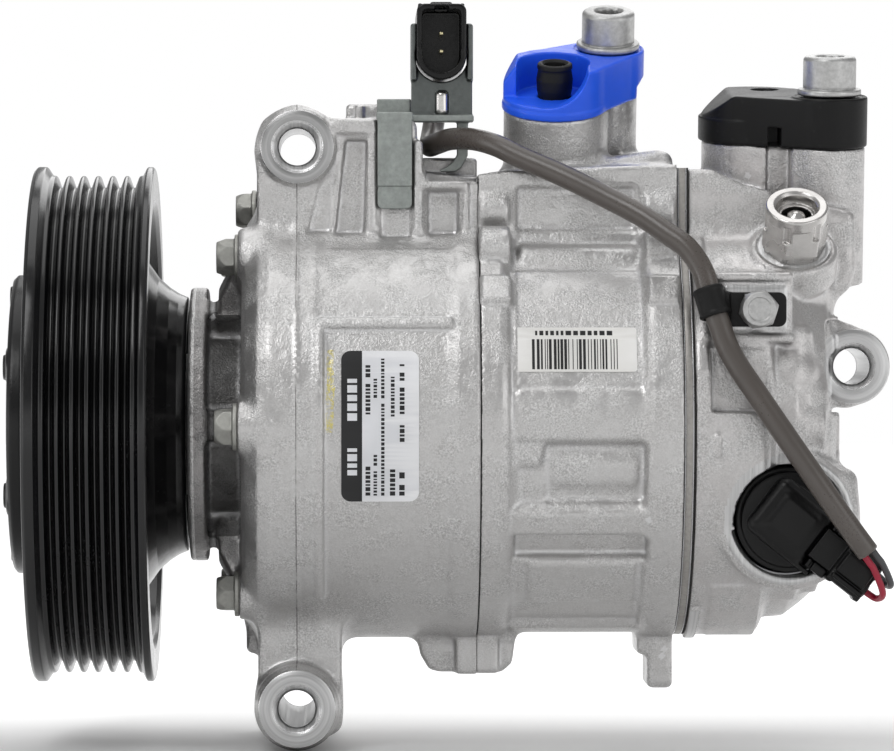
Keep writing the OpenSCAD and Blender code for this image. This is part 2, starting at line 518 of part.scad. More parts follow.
module connector_bracket() color([0.55, 0.57, 0.56]) difference() {
  union() {
    // foot, upright, side wings round the connector
    blk(77, 92, -10, -8.4, 74.6, 98.5);
    blk(77, 92, -12.6, -8.4, 74.2, 75.8);
    blk(77, 78.2, -12.6, -2, 86, 98);
    blk(90.8, 92, -12.6, -2, 86, 98);
    // stiffening bead
    cyz(1.4, 84.4, -10.2, 75.8, 82);
    // hook that reaches down beside the lead
    blk(87.9, 91, -9.8, -8.4, 63.4, 75);
  }
  blk(78.3, 90.6, -20, -5, 84.8, 104);
}
module cyz(r, x, y, z0, z1) translate([x, y, z0]) cylinder(r = r, h = z1 - z0);
module bracket_clip() color([0.52, 0.55, 0.52]) difference() {
  union() {
    blk(68.6, 77, -27.6, -26.2, 52.4, 75.6);
    blk(68.6, 77, -27.6, -7, 74.2, 75.6);
    blk(68.6, 77, -8.4, -7, 74.2, 80);
  }
  blk(70, 75.6, -28.4, -27.2, 54, 56.4);
}
module lead_connector() {
  color([0.02, 0.02, 0.02]) difference() {
    union() {
      translate([0, 14, 0]) rotate([90, 0, 0]) linear_extrude(28) translate([84.4, 94.3]) { translate([0, -3.4]) circle(r = 6); translate([-6, -3.4]) square([12, 9]); translate([-3.4, 0]) square([6.8, 9.2]); translate([-3.5, 5.6]) circle(r = 2.5); translate([3.5, 5.6]) circle(r = 2.5); translate([-3.5, 5.6]) square([7, 2.5]); }
      cy(3.6, 84.6, 94.6, 13, 16);
    }
    translate([0, -3, 0]) rotate([90, 0, 0]) linear_extrude(14) translate([84.4, 94.3]) { translate([0, -3.1]) circle(r = 4.9); translate([-4.9, -3.1]) square([9.8, 7.6]); }
  }
  color([0.75, 0.7, 0.4]) for (z = [91.6, 95.4]) blk(84, 84.8, -11, -3, z - 0.3, z + 0.3);
}

// ---------- port caps ----------
module suction_cap() color([0.08, 0.2, 0.8]) difference() {
  union() {
    leaned(ps, sl) cylinder(r = 13.2, h = 11.6);
    leaned(ps, sl) translate([sb[0], sb[1], 0]) cylinder(r = 9, h = 11.6);
    leaned(ps, sl) linear_extrude(11.6) polygon(bridge(13.2, sb, 9));
  }
  // open pocket round the stopper
  leaned(ps, sl) translate([0, 0, 3.4]) cylinder(r1 = 9.6, r2 = 11.4, h = 9);
  leaned(ps, sl) translate([0, 0, -1]) cylinder(r = 5, h = 6);
  leaned(bs, sl) translate([0, 0, -1]) cylinder(r = 4.2, h = 14);
}
module suction_stopper() color([0.03, 0.03, 0.03]) leaned(ps, sl) difference() {
  rotate_extrude() polygon([[0, 0], [5, 0], [5, 3.4], [5.2, 3.4], [4.4, 10.6], [3.4, 11.2], [0, 11.2]]);
  translate([0, 0, 6]) cylinder(r = 2.6, h = 6);
}
module socket_bolt(p, a, h, d) color([0.72, 0.72, 0.7]) leaned(p, a) difference() {
  union() {
    translate([0, 0, -d]) cylinder(r = 4, h = h + d + 1);
    translate([0, 0, h]) cylinder(r = 7.8, h = 1.6);
    translate([0, 0, h + 1.6]) cylinder(r = 6.5, h = 7.2);
    translate([0, 0, h + 8.8]) cylinder(r1 = 6.5, r2 = 5.7, h = 0.8);
  }
  translate([0, 0, h + 4.6]) hexhead(6, 6);
}
module suction_bolt() socket_bolt(bs, sl, 11.6, 14);
module discharge_cap() color([0.03, 0.03, 0.035]) difference() {
  union() {
    leaned(pd, dl) cylinder(r = 13.4, h = 11.8);
    leaned(pd, dl) translate([db[0], db[1], 0]) cylinder(r = 9.4, h = 12.6);
    leaned(pd, dl) linear_extrude(11.8) polygon(bridge(13.4, db, 9.4));
  }
  // sloped end
  leaned(pd, dl) rotate([0, 0, 39]) translate([-13.6, -25, 3]) rotate([0, 52, 0]) translate([-16, 0, 0]) cube([16, 60, 40]);
  leaned(bd, dl) translate([0, 0, -1]) cylinder(r = 4.2, h = 16);
}
module discharge_bolt() socket_bolt(bd, dl, 12.6, 14);

// ---------- relief valve ----------
module relief_valve() color([0.72, 0.72, 0.73]) leaned(rv, rv_lean) difference() {
  union() {
    translate([0, 0, -8]) cylinder(r = 5, h = 8);
    hexhead(14, 11);
    translate([0, 0, 11]) cylinder(r = 7.4, h = 3);
  }
  translate([0, 0, -9]) cylinder(r = 2, h = 12);
  translate([0, 0, -2]) cylinder(r = 3.6, h = 14);
  translate([0, 0, 11]) cylinder(r = 4.8, h = 4);
}
module relief_poppet() color([0.65, 0.65, 0.66]) leaned(rv, rv_lean) {
  translate([0, 0, -1.98]) cylinder(r = 3.5, h = 5);
  translate([0, 0, 3.02]) cylinder(r = 2.4, h = 8.4);
}

// ---------- labels ----------
module labels() color([0.9, 0.9, 0.9]) {
  intersection() { ringx(front_r, front_r + 0.25, 60, 78.4); blk(59, 79, -60, -40, -18, 18.6); }
  intersection() { ringx(waist_r, waist_r + 0.25, 101.2, 130.2); blk(100, 131, -60, -30, 13.2, 24.6); }
}

pulley();
rubber_dampers();
hub_plate();
drive_pins();
shaft_nut();
bearing_outer_ring();
bearing_balls();
bearing_inner_ring();
nose_circlip();
shaft_seal();
front_shaft_bush();
rear_shaft_bush();
thrust_race();
thrust_rollers();
drive_shaft();
lug_plate();
destroke_spring();
swash_sleeve();
swash_plate();
piston_1();
piston_2();
piston_3();
piston_4();
piston_5();
piston_6();
shoes_1();
shoes_2();
shoes_3();
shoes_4();
shoes_5();
shoes_6();
front_housing();
housing_seal();
cylinder_block();
valve_gaskets();
suction_reed();
valve_plate();
discharge_reed();
rear_housing();
through_bolts();
control_valve_body();
control_valve_coil();
control_valve_plunger();
control_valve_ring();
valve_plug();
lead_wires();
lead();
p_clip();
p_clip_bolt();
connector_bracket();
bracket_clip();
lead_connector();
suction_cap();
suction_stopper();
suction_bolt();
discharge_cap();
discharge_bolt();
relief_valve();
relief_poppet();
labels();
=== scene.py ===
import math
import bpy
import bmesh
import numpy as np
import openvdb
from mathutils import Matrix, Vector
from mathutils.geometry import delaunay_2d_cdt


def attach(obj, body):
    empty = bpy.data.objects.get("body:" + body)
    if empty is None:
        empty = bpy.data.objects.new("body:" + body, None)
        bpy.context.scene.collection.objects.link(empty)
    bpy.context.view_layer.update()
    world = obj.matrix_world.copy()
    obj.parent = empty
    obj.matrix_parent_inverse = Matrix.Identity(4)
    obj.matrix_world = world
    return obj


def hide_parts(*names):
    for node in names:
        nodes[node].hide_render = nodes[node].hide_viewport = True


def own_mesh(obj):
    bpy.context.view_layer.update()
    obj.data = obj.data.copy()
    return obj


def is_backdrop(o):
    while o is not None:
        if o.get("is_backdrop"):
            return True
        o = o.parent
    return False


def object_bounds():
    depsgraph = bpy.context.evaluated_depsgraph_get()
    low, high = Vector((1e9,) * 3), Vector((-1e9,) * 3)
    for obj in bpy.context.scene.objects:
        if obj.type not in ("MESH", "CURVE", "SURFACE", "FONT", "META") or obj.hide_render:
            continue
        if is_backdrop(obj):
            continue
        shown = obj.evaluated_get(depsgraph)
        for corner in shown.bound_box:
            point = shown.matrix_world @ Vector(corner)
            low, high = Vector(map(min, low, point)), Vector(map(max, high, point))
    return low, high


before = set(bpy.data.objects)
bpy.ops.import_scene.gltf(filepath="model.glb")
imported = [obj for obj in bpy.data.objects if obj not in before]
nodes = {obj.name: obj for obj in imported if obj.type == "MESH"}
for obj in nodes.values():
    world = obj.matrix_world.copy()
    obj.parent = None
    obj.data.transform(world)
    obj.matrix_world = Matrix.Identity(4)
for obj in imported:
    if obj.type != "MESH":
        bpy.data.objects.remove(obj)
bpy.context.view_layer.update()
MM = 0.001
f4 = np.float32


# ------------------------------------------------------------------ solids by signed distance, in mm
def vec(*p):
    return np.array(p, float)


def unit(v):
    v = np.array(v, float)
    return v / np.linalg.norm(v)


def smin(a, b, k):
    if k <= 0:
        return np.minimum(a, b)
    h = np.maximum(k - np.abs(a - b), 0) / k
    return np.minimum(a, b) - h * h * k * 0.25


def box2(q, u, e):
    q, u = q + e, u + e
    return np.minimum(np.maximum(q, u), 0) + np.sqrt(np.maximum(q, 0) ** 2 + np.maximum(u, 0) ** 2) - e


def box3(q, u, w, e):
    q, u, w = q + e, u + e, w + e
    return np.minimum(np.maximum(np.maximum(q, u), w), 0) + np.sqrt(np.maximum(q, 0) ** 2 + np.maximum(u, 0) ** 2 + np.maximum(w, 0) ** 2) - e


def dotc(c, d):
    """d . c for broadcast coordinates, leaving out the zero terms so that flat shapes stay small."""
    out = 0
    for ci, di in zip(c, d):
        if abs(di) > 1e-9:
            out = out + ci * f4(di)
    return out


def cyl(p0, p1, r, e=0.0, r1=None):
    """Round bar from p0 to p1, with edge radius e, or a cone to radius r1."""
    p0, p1 = np.array(p0, float), np.array(p1, float)
    L = np.linalg.norm(p1 - p0)
    d = (p1 - p0) / L

    def f(X, Y, Z):
        c = (X - f4(p0[0]), Y - f4(p0[1]), Z - f4(p0[2]))
        t = dotc(c, d)
        a, b = frame_of(d)
        q = np.sqrt(dotc(c, a) ** 2 + dotc(c, b) ** 2)
        if r1 is None:
            q = q - r
        else:
            s = (r1 - r) / L
            q = (q - (r + s * np.clip(t, 0, L))) / math.sqrt(1 + s * s)
        return box2(q, np.abs(t - L / 2) - L / 2, e)

    R = max(r, r1 or 0) * np.sqrt(np.maximum(1 - d * d, 0))
    return f, (np.minimum(p0, p1) - R, np.maximum(p0, p1) + R)


def frame_of(d):
    """Two unit directions square to d."""
    d = unit(d)
    i = int(np.argmin(np.abs(d)))
    h = np.zeros(3)
    h[i] = 1
    a = unit(np.cross(h, d))
    return a, np.cross(d, a)


def cylx(r, x0, x1, e=0.0, y=0, z=0):
    return cyl((x0, y, z), (x1, y, z), r, e)


def cyly(r, x, z, y0, y1, e=0.0, r1=None):
    return cyl((x, y0, z), (x, y1, z), r, e, r1)


def corners(o, axes, lo, hi):
    pts = [o + axes[0] * a + axes[1] * b + axes[2] * c for a in (lo[0], hi[0]) for b in (lo[1], hi[1]) for c in (lo[2], hi[2])]
    return np.min(pts, 0), np.max(pts, 0)


WORLD = (vec(0, 0, 0), (vec(1, 0, 0), vec(0, 1, 0), vec(0, 0, 1)))


def leaned(p, a):
    """Frame at p with its third axis leaning a degrees toward -Y."""
    a = math.radians(a)
    return (np.array(p, float), (vec(1, 0, 0), vec(0, math.cos(a), math.sin(a)), vec(0, -math.sin(a), math.cos(a))))


def spun(fr, a):
    """fr turned by a degrees about its own third axis."""
    o, (u, v, w) = fr
    c, s = math.cos(math.radians(a)), math.sin(math.radians(a))
    return (o, (u * c + v * s, v * c - u * s, w))


def radial(a):
    """Frame on the shaft axis: first axis along X, third axis outward at a degrees from -Y toward +Z."""
    a = math.radians(a)
    n = vec(0, -math.cos(a), math.sin(a))
    return (vec(0, 0, 0), (vec(1, 0, 0), np.cross(n, vec(1, 0, 0)), n))


def at(fr, p):
    o, ax = fr
    return o + ax[0] * p[0] + ax[1] * p[1] + ax[2] * p[2]


def local(fr, X, Y, Z):
    o, ax = fr
    c = (X - f4(o[0]), Y - f4(o[1]), Z - f4(o[2]))
    return dotc(c, ax[0]), dotc(c, ax[1]), dotc(c, ax[2])


def rbox(lo, hi, e=0.5, fr=WORLD):
    lo, hi = np.array(lo, float), np.array(hi, float)
    m, h = (lo + hi) / 2, (hi - lo) / 2

    def f(X, Y, Z):
        u, v, w = local(fr, X, Y, Z)
        return box3(np.abs(u - m[0]) - h[0], np.abs(v - m[1]) - h[1], np.abs(w - m[2]) - h[2], e)

    return f, corners(fr[0], fr[1], lo, hi)


def bar(fr, p0, p1, r, e=0.0, r1=None):
    return cyl(at(fr, p0), at(fr, p1), r, e, r1)


def rnd(pts, r, n=5):
    """Outline with its corners rounded by r, or less where the edges are short."""
    pts = [vec(*p) for p in pts]
    out = []
    for i, p in enumerate(pts):
        a, b = pts[i - 1] - p, pts[(i + 1) % len(pts)] - p
        la, lb = np.linalg.norm(a), np.linalg.norm(b)
        a, b = a / la, b / lb
        ang = math.acos(max(-1, min(1, float(a @ b))))
        if ang > 3.0 or ang < 0.05:
            out.append(p)
            continue
        t = min(r / math.tan(ang / 2), la * 0.46, lb * 0.46)
        rr = t * math.tan(ang / 2)
        c = p + unit(a + b) * (rr / math.sin(ang / 2))
        s0, s1 = p + a * t - c, p + b * t - c
        a0 = math.atan2(s0[1], s0[0])
        da = (math.atan2(s1[1], s1[0]) - a0 + math.pi) % (2 * math.pi) - math.pi
        for k in range(n + 1):
            out.append(c + rr * vec(math.cos(a0 + da * k / n), math.sin(a0 + da * k / n)))
    return out


def poly(u, v, pts):
    """Signed distance to an outline."""
    d, s = None, None
    for i in range(len(pts)):
        p, q = pts[i], pts[i - 1]
        ex, ey = f4(q[0] - p[0]), f4(q[1] - p[1])
        wx, wy = u - f4(p[0]), v - f4(p[1])
        t = np.clip((wx * ex + wy * ey) / max(ex * ex + ey * ey, 1e-12), 0, 1)
        dd = (wx - ex * t) ** 2 + (wy - ey * t) ** 2
        c1, c2, c3 = wy >= 0, v < f4(q[1]), ex * wy > ey * wx
        flip = (c1 & c2 & c3) | (~c1 & ~c2 & ~c3)
        d = dd if d is None else np.minimum(d, dd)
        s = flip if s is None else s ^ flip
    return np.sqrt(d) * np.where(s, -1, 1)


def prism(pts, w0, w1, e=0.5, fr=WORLD, plane="uv"):
    """Outline pts drawn in two axes of fr and pulled from w0 to w1 along the remaining one."""
    P = np.array(pts)
    lo, hi = P.min(0), P.max(0)
    m, h = (w0 + w1) / 2, (w1 - w0) / 2

    def f(X, Y, Z):
        u, v, w = local(fr, X, Y, Z)
        if plane == "uw":
            v, w = w, v
        return box2(poly(u, v, pts), np.abs(w - m) - h, e)

    if plane == "uw":
        return f, corners(fr[0], fr[1], (lo[0], w0, lo[1]), (hi[0], w1, hi[1]))
    return f, corners(fr[0], fr[1], (lo[0], lo[1], w0), (hi[0], hi[1], w1))


def turned(pts, e=0.0):
    """Profile of (radius, x) points turned about the shaft axis."""
    P = np.array(pts)
    r1, x0, x1 = P[:, 0].max(), P[:, 1].min(), P[:, 1].max()

    def f(X, Y, Z):
        rad = np.sqrt(Y * Y + Z * Z)
        st = f4(0.125)
        rs = np.arange(0, float(rad.max()) + 1, st, dtype=f4)
        xs = X[:, 0, 0]
        T = poly(rs[None, :], xs[:, None], pts).astype(f4)
        g = rad[0] / st
        i = np.minimum(g.astype(np.int32), len(rs) - 2)
        w = g - i
        return T[:, i] * (1 - w) + T[:, i + 1] * w - e

    return f, (vec(x0, -r1, -r1), vec(x1, r1, r1))


def sector(r0, r1, x0, x1, a0, a1, e=0.6):
    """Block on the barrel from radius r0 to r1, between angles a0 and a1 from -Y toward +Z."""
    am, ah = math.radians((a0 + a1) / 2), math.radians((a1 - a0) / 2)

    def f(X, Y, Z):
        rad = np.sqrt(Y * Y + Z * Z)
        ang = (np.arctan2(Z, -Y) - am + math.pi) % (2 * math.pi) - math.pi
        return box3(np.abs(rad - (r0 + r1) / 2) - (r1 - r0) / 2, np.abs(X - (x0 + x1) / 2) - (x1 - x0) / 2, (np.abs(ang) - ah) * np.minimum(rad, r1), e)

    n = 12
    pts = [(rr * -math.cos(am + ah * (2 * k / n - 1)), rr * math.sin(am + ah * (2 * k / n - 1))) for rr in (r0, r1) for k in range(n + 1)]
    P = np.array(pts)
    return f, (vec(x0, P[:, 0].min() - 0.5, P[:, 1].min() - 0.5), vec(x1, P[:, 0].max() + 0.5, P[:, 1].max() + 0.5))


def torus(c, n, R, r):
    c, n = np.array(c, float), unit(n)

    def f(X, Y, Z):
        q = (X - f4(c[0]), Y - f4(c[1]), Z - f4(c[2]))
        a, b = frame_of(n)
        return np.sqrt((np.sqrt(dotc(q, a) ** 2 + dotc(q, b) ** 2) - R) ** 2 + dotc(q, n) ** 2) - r

    return f, (c - R - r, c + R + r)


def ball(c, r):
    c = np.array(c, float)
    return (lambda X, Y, Z: np.sqrt((X - f4(c[0])) ** 2 + (Y - f4(c[1])) ** 2 + (Z - f4(c[2])) ** 2) - r), (c - r, c + r)


def hexbar(fr, af, z0, z1, e=0.3, turn=0):
    pts = [(af / math.sqrt(3) * math.cos(math.radians(60 * k + turn)), af / math.sqrt(3) * math.sin(math.radians(60 * k + turn))) for k in range(6)]
    return prism(pts, z0, z1, e, fr)


def both(a, b):
    """Only what lies in a and in b."""
    return (lambda X, Y, Z: np.maximum(a[0](X, Y, Z), b[0](X, Y, Z))), (np.maximum(a[1][0], b[1][0]), np.minimum(a[1][1], b[1][1]))


class Cast:
    """A block of space that shapes are added to and cut from with a fillet."""

    def __init__(self, lo, hi, h):
        self.h = h = h * 1
        self.lo = np.array(lo, float) - 3 * h
        self.n = [int(math.ceil((hi[i] - lo[i]) / h)) + 7 for i in range(3)]
        self.ax = [(self.lo[i] + h * np.arange(self.n[i])).astype(f4) for i in range(3)]
        self.v = np.full(self.n, 9.0, f4)

    def _in(self, b, pad):
        s = []
        for i in range(3):
            a = max(0, int(math.floor((b[0][i] - pad - self.lo[i]) / self.h)))
            z = min(self.n[i], int(math.ceil((b[1][i] + pad - self.lo[i]) / self.h)) + 1)
            if z <= a:
                return None
            s.append(slice(a, z))
        return tuple(s), (self.ax[0][s[0]][:, None, None], self.ax[1][s[1]][None, :, None], self.ax[2][s[2]][None, None, :])

    def add(self, shape, k=0.6):
        w = self._in(shape[1], k + 2)
        if w:
            self.v[w[0]] = smin(self.v[w[0]], shape[0](*w[1]), k)
        return self

    def cut(self, shape, k=0.0):
        w = self._in(shape[1], k + 2)
        if w:
            self.v[w[0]] = -smin(-self.v[w[0]], shape[0](*w[1]), k)
        return self

    def keep(self, shape):
        self.v[:] = np.maximum(self.v, shape[0](self.ax[0][:, None, None], self.ax[1][None, :, None], self.ax[2][None, None, :]))
        return self

    def mesh(self, name, mats, pick=None):
        g = openvdb.FloatGrid(float(self.h * 4))
        g.copyFromArray(np.clip(self.v / self.h, -4, 4).astype(f4))
        pts, tri, quad = g.convertToPolygons(isovalue=0.0, adaptivity=0.0)
        V = pts.astype(float) * self.h + self.lo
        return build(name, V, [np.asarray(tri), np.asarray(quad)[:, ::-1] if len(quad) else quad], mats, pick)


def build(name, V, groups, mats, pick=None, smooth=True):
    """Mesh object from points in mm and arrays of faces of equal length."""
    me = bpy.data.meshes.new(name)
    groups = [np.asarray(g, np.int32) for g in groups if len(g)]
    V = np.asarray(V, float)
    me.vertices.add(len(V))
    me.vertices.foreach_set("co", (V * MM).astype(f4).ravel())
    loops = np.concatenate([g.ravel() for g in groups])
    tot = np.concatenate([np.full(len(g), g.shape[1], np.int32) for g in groups])
    me.loops.add(len(loops))
    me.loops.foreach_set("vertex_index", loops)
    me.polygons.add(len(tot))
    start = np.concatenate([[0], np.cumsum(tot)[:-1]]).astype(np.int32)
    me.polygons.foreach_set("loop_start", start)
    me.polygons.foreach_set("loop_total", tot)
    me.polygons.foreach_set("use_smooth", np.full(len(tot), smooth, bool))
    for m in mats if isinstance(mats, (list, tuple)) else [mats]:
        me.materials.append(m)
    me.update(calc_edges=True)
    if pick is not None:
        C = np.empty(len(tot) * 3, f4)
        N = np.empty(len(tot) * 3, f4)
        me.polygons.foreach_get("center", C)
        me.polygons.foreach_get("normal", N)
        me.polygons.foreach_set("material_index", np.asarray(pick(C.reshape(-1, 3) / MM, N.reshape(-1, 3)), np.int32))
    me.validate(clean_customdata=False)
    o = bpy.data.objects.new(name, me)
    bpy.context.scene.collection.objects.link(o)
    return o


def lathe(name, pts, mats, seg=200, fr=None, pick=None, closed=True):
    """Closed profile of (radius, along) points turned about the shaft axis, or about fr's third axis."""
    P = np.array(pts, float)
    n = len(P)
    V, F = [], []
    a = 2 * math.pi * np.arange(seg) / seg
    for r, x in P:
        if fr is None:
            V.append(np.stack([np.full(seg, x), r * np.cos(a), r * np.sin(a)], 1))
        else:
            o, ax = fr
            V.append(o + ax[0] * (r * np.cos(a))[:, None] + ax[1] * (r * np.sin(a))[:, None] + ax[2] * np.full((seg, 1), x))
    V = np.concatenate(V)
    i = np.arange(seg)
    j = (i + 1) % seg
    for k in range(n if closed else n - 1):
        m = (k + 1) % n
        F.append(np.stack([k * seg + i, k * seg + j, m * seg + j, m * seg + i], 1))
    o = build(name, V, [np.concatenate(F)], mats, pick)
    bm = bmesh.new()
    bm.from_mesh(o.data)
    bmesh.ops.remove_doubles(bm, verts=bm.verts, dist=1e-7)
    bmesh.ops.recalc_face_normals(bm, faces=bm.faces)
    bm.to_mesh(o.data)
    bm.free()
    return o


def smoothline(pts, per=8):
    """Points along a Catmull-Rom line through pts."""
    P = [2 * np.array(pts[0], float) - np.array(pts[1], float)] + [np.array(p, float) for p in pts] + [2 * np.array(pts[-1], float) - np.array(pts[-2], float)]
    out = []
    for i in range(1, len(P) - 2):
        for k in range(per):
            t = k / per
            out.append(0.5 * (2 * P[i] + (P[i + 1] - P[i - 1]) * t + (2 * P[i - 1] - 5 * P[i] + 4 * P[i + 1] - P[i + 2]) * t * t + (3 * P[i] - P[i - 1] - 3 * P[i + 1] + P[i + 2]) * t ** 3))
    out.append(P[-2])
    return out


def tube(name, pts, r, mats, seg=28, close=True, radius=None):
    P = np.array(pts, float)
    n = len(P)
    T = np.gradient(P, axis=0)
    T /= np.linalg.norm(T, axis=1)[:, None]
    u, _ = frame_of(T[0])
    V = []
    for i in range(n):
        u = unit(u - T[i] * (u @ T[i]))
        w = np.cross(T[i], u)
        a = 2 * math.pi * np.arange(seg) / seg
        rr = r if radius is None else radius(i / (n - 1)) * r
        V.append(P[i] + rr * (np.cos(a)[:, None] * u + np.sin(a)[:, None] * w))
    # rounded ends
    for end, i in ((0, 0), (1, n - 1)):
        s = -1 if end == 0 else 1
        ring = V[0] if end == 0 else V[-1]
        extra = [P[i] + (ring - P[i]) * c + T[i] * s * r * d for c, d in ((0.93, 0.06), (0.8, 0.1))]
        V = extra[::-1] + V if end == 0 else V + extra
    m = len(V)
    V = np.concatenate(V)
    i = np.arange(seg)
    j = (i + 1) % seg
    F = [np.stack([k * seg + i, k * seg + j, (k + 1) * seg + j, (k + 1) * seg + i], 1) for k in range(m - 1)]
    V = np.concatenate([V, [P[0] - T[0] * r * 0.1, P[-1] + T[-1] * r * 0.1]])
    c0, c1 = len(V) - 2, len(V) - 1
    tri = [np.stack([j, i, np.full(seg, c0)], 1), np.stack([(m - 1) * seg + i, (m - 1) * seg + j, np.full(seg, c1)], 1)]
    return build(name, V, [np.concatenate(F), np.concatenate(tri)], mats)


# ------------------------------------------------------------------ materials
class Mat:
    def __init__(self, name):
        self.m = bpy.data.materials.new(name)
        self.m.use_nodes = True
        self.nt = self.m.node_tree
        self.p = self.nt.nodes["Principled BSDF"]
        self.co = self.nt.nodes.new("ShaderNodeTexCoord").outputs["Object"]

    def put(self, sock, v):
        if isinstance(v, bpy.types.NodeSocket):
            self.nt.links.new(v, sock)
        elif isinstance(v, (tuple, list)) and len(v) == 3 and sock.type == "RGBA":
            sock.default_value = (*v, 1)
        else:
            sock.default_value = v

    def node(self, kind, out=0, props=None, **inp):
        n = self.nt.nodes.new("ShaderNode" + kind)
        for k, v in (props or {}).items():
            setattr(n, k, v)
        for k, v in inp.items():
            self.put(n.inputs[int(k[1:])] if k[0] == "_" and k[1:].isdigit() else n.inputs[k.replace("_", " ")], v)
        return n.outputs[out]

    def noise(self, scale, detail=3.0, rough=0.55, co=None, distort=0.0):
        return self.node("TexNoise", 0, None, Vector=co or self.co, Scale=scale, Detail=detail, Roughness=rough, Distortion=distort)

    def math(self, op, a, b=0.0, c=0.0, clamp=False):
        return self.node("Math", 0, {"operation": op, "use_clamp": clamp}, _0=a, _1=b, _2=c)

    def ramp(self, fac, *stops):
        n = self.nt.nodes.new("ShaderNodeValToRGB")
        cr = n.color_ramp
        while len(cr.elements) < len(stops):
            cr.elements.new(0.5)
        for e, (pos, col) in zip(cr.elements, stops):
            e.position = pos
            e.color = (*col, 1) if isinstance(col, (tuple, list)) else (col, col, col, 1)
        self.put(n.inputs[0], fac)
        return n.outputs[0]

    def mix(self, fac, a, b):
        n = self.nt.nodes.new("ShaderNodeMix")
        n.data_type = "RGBA"
        self.put(n.inputs[0], fac)
        self.put(n.inputs[6], a)
        self.put(n.inputs[7], b)
        return n.outputs[2]

    def bump(self, height, dist, strength=1.0, normal=None):
        kw = dict(Height=height, Distance=dist, Strength=strength)
        if normal is not None:
            kw["Normal"] = normal
        return self.node("Bump", 0, None, **kw)

    def axis(self, i):
        return self.node("SeparateXYZ", i, None, Vector=self.co)

    def painted_crevice_shade(self, near, far, d):
        """Painted shade: darkens the colour in crevices narrower than d metres."""
        ao = self.node("AmbientOcclusion", 1, {"samples": 6}, Distance=d)
        return self.ramp(ao, (0.0, near), (0.75, far))

    def set(self, **kw):
        for k, v in kw.items():
            self.put(self.p.inputs[k.replace("_", " ")], v)
        return self.m


def cast_alloy(name, tone=1.0, warm=0.0, paint=False, line=0):
    m = Mat(name)
    fine = m.noise(2300, 3, 0.6)
    soft = m.noise(620, 3, 0.6)
    grain = m.node("TexVoronoi", 0, {"feature": "F1"}, Vector=m.co, Scale=2300.0)
    cloud = m.noise(55, 4, 0.6)
    patch = m.noise(150, 3, 0.6)
    lo, hi = 0.43 * tone, 0.76 * tone
    c = m.ramp(fine, (0.36, (lo, lo * 0.99, lo * 0.985)), (0.64, (hi, hi * 0.995, hi * 0.99)))
    # smooth skin in places, sandy grain in others
    sandy = m.ramp(patch, (0.42, 0.25), (0.6, 1.0))
    c = m.mix(sandy, (0.60 * tone + warm, 0.595 * tone, 0.59 * tone), c)
    c = m.mix(m.ramp(soft, (0.4, 0.16), (0.62, 0.0)), c, (0.40 * tone, 0.39 * tone, 0.385 * tone))
    c = m.mix(m.ramp(cloud, (0.35, 0.0), (0.7, 0.3)), c, (0.50 * tone + warm, 0.485 * tone, 0.475 * tone))
    spot = m.node("TexVoronoi", 0, {"feature": "F1"}, Vector=m.co, Scale=130.0, Randomness=1.0)
    c = m.mix(m.ramp(spot, (0.012, 0.5), (0.03, 0.0)), c, (0.12, 0.115, 0.11))
    # painted shade: occluded crevices are darkened in the colour
    c = m.mix(m.painted_crevice_shade((1, 1, 1), (0, 0, 0), 0.007), c, (0.16, 0.155, 0.15))
    # painted highlight: convex edges are lightened in the colour by pointiness
    painted_edge_highlight = m.ramp(m.node("NewGeometry", "Pointiness"), (0.505, 0.0), (0.56, 0.6))
    c = m.mix(painted_edge_highlight, c, (0.82, 0.82, 0.83))
    if line:
        # thin flash line where the two halves of the mould met
        dl = m.math("ABSOLUTE", m.math("SUBTRACT", m.math("ADD", m.axis(0), m.math("MULTIPLY_ADD", m.noise(60, 2), 0.0003, -0.00015)), line * MM))
        on = m.math("MULTIPLY", m.math("LESS_THAN", dl, 0.00013), m.ramp(m.noise(150, 3, 0.6), (0.38, 0.15), (0.55, 0.8)))
        c = m.mix(on, c, (0.13, 0.125, 0.12))
    if paint:
        x, z = m.axis(0), m.axis(2)
        wob = m.math("MULTIPLY_ADD", m.noise(260, 3, 0.6), 0.0016, -0.0008)
        dx = m.math("ABSOLUTE", m.math("SUBTRACT", m.math("ADD", x, wob), 0.0573))
        dz = m.math("ABSOLUTE", m.math("SUBTRACT", z, 0.0085))
        inside = m.math("MULTIPLY", m.math("LESS_THAN", dx, 0.0009), m.math("LESS_THAN", dz, 0.0098))
        near = m.math("LESS_THAN", m.axis(1), -0.03)
        dry = m.ramp(m.noise(900, 3, 0.7), (0.42, 0.0), (0.6, 0.75))
        c = m.mix(m.math("MULTIPLY", m.math("MULTIPLY", inside, near), dry), c, (0.72, 0.62, 0.12))
    h = m.math("MULTIPLY", m.math("ADD", m.math("MULTIPLY", fine, 0.9), m.math("MULTIPLY", grain, 0.5)), sandy)
    n1 = m.bump(soft, 0.0003, 0.3)
    n2 = m.bump(h, 0.00026, 0.7, n1)
    rough = m.ramp(patch, (0.3, 0.3), (0.7, 0.46))
    return m.set(Base_Color=c, Metallic=0.82, Roughness=rough, Normal=n2)


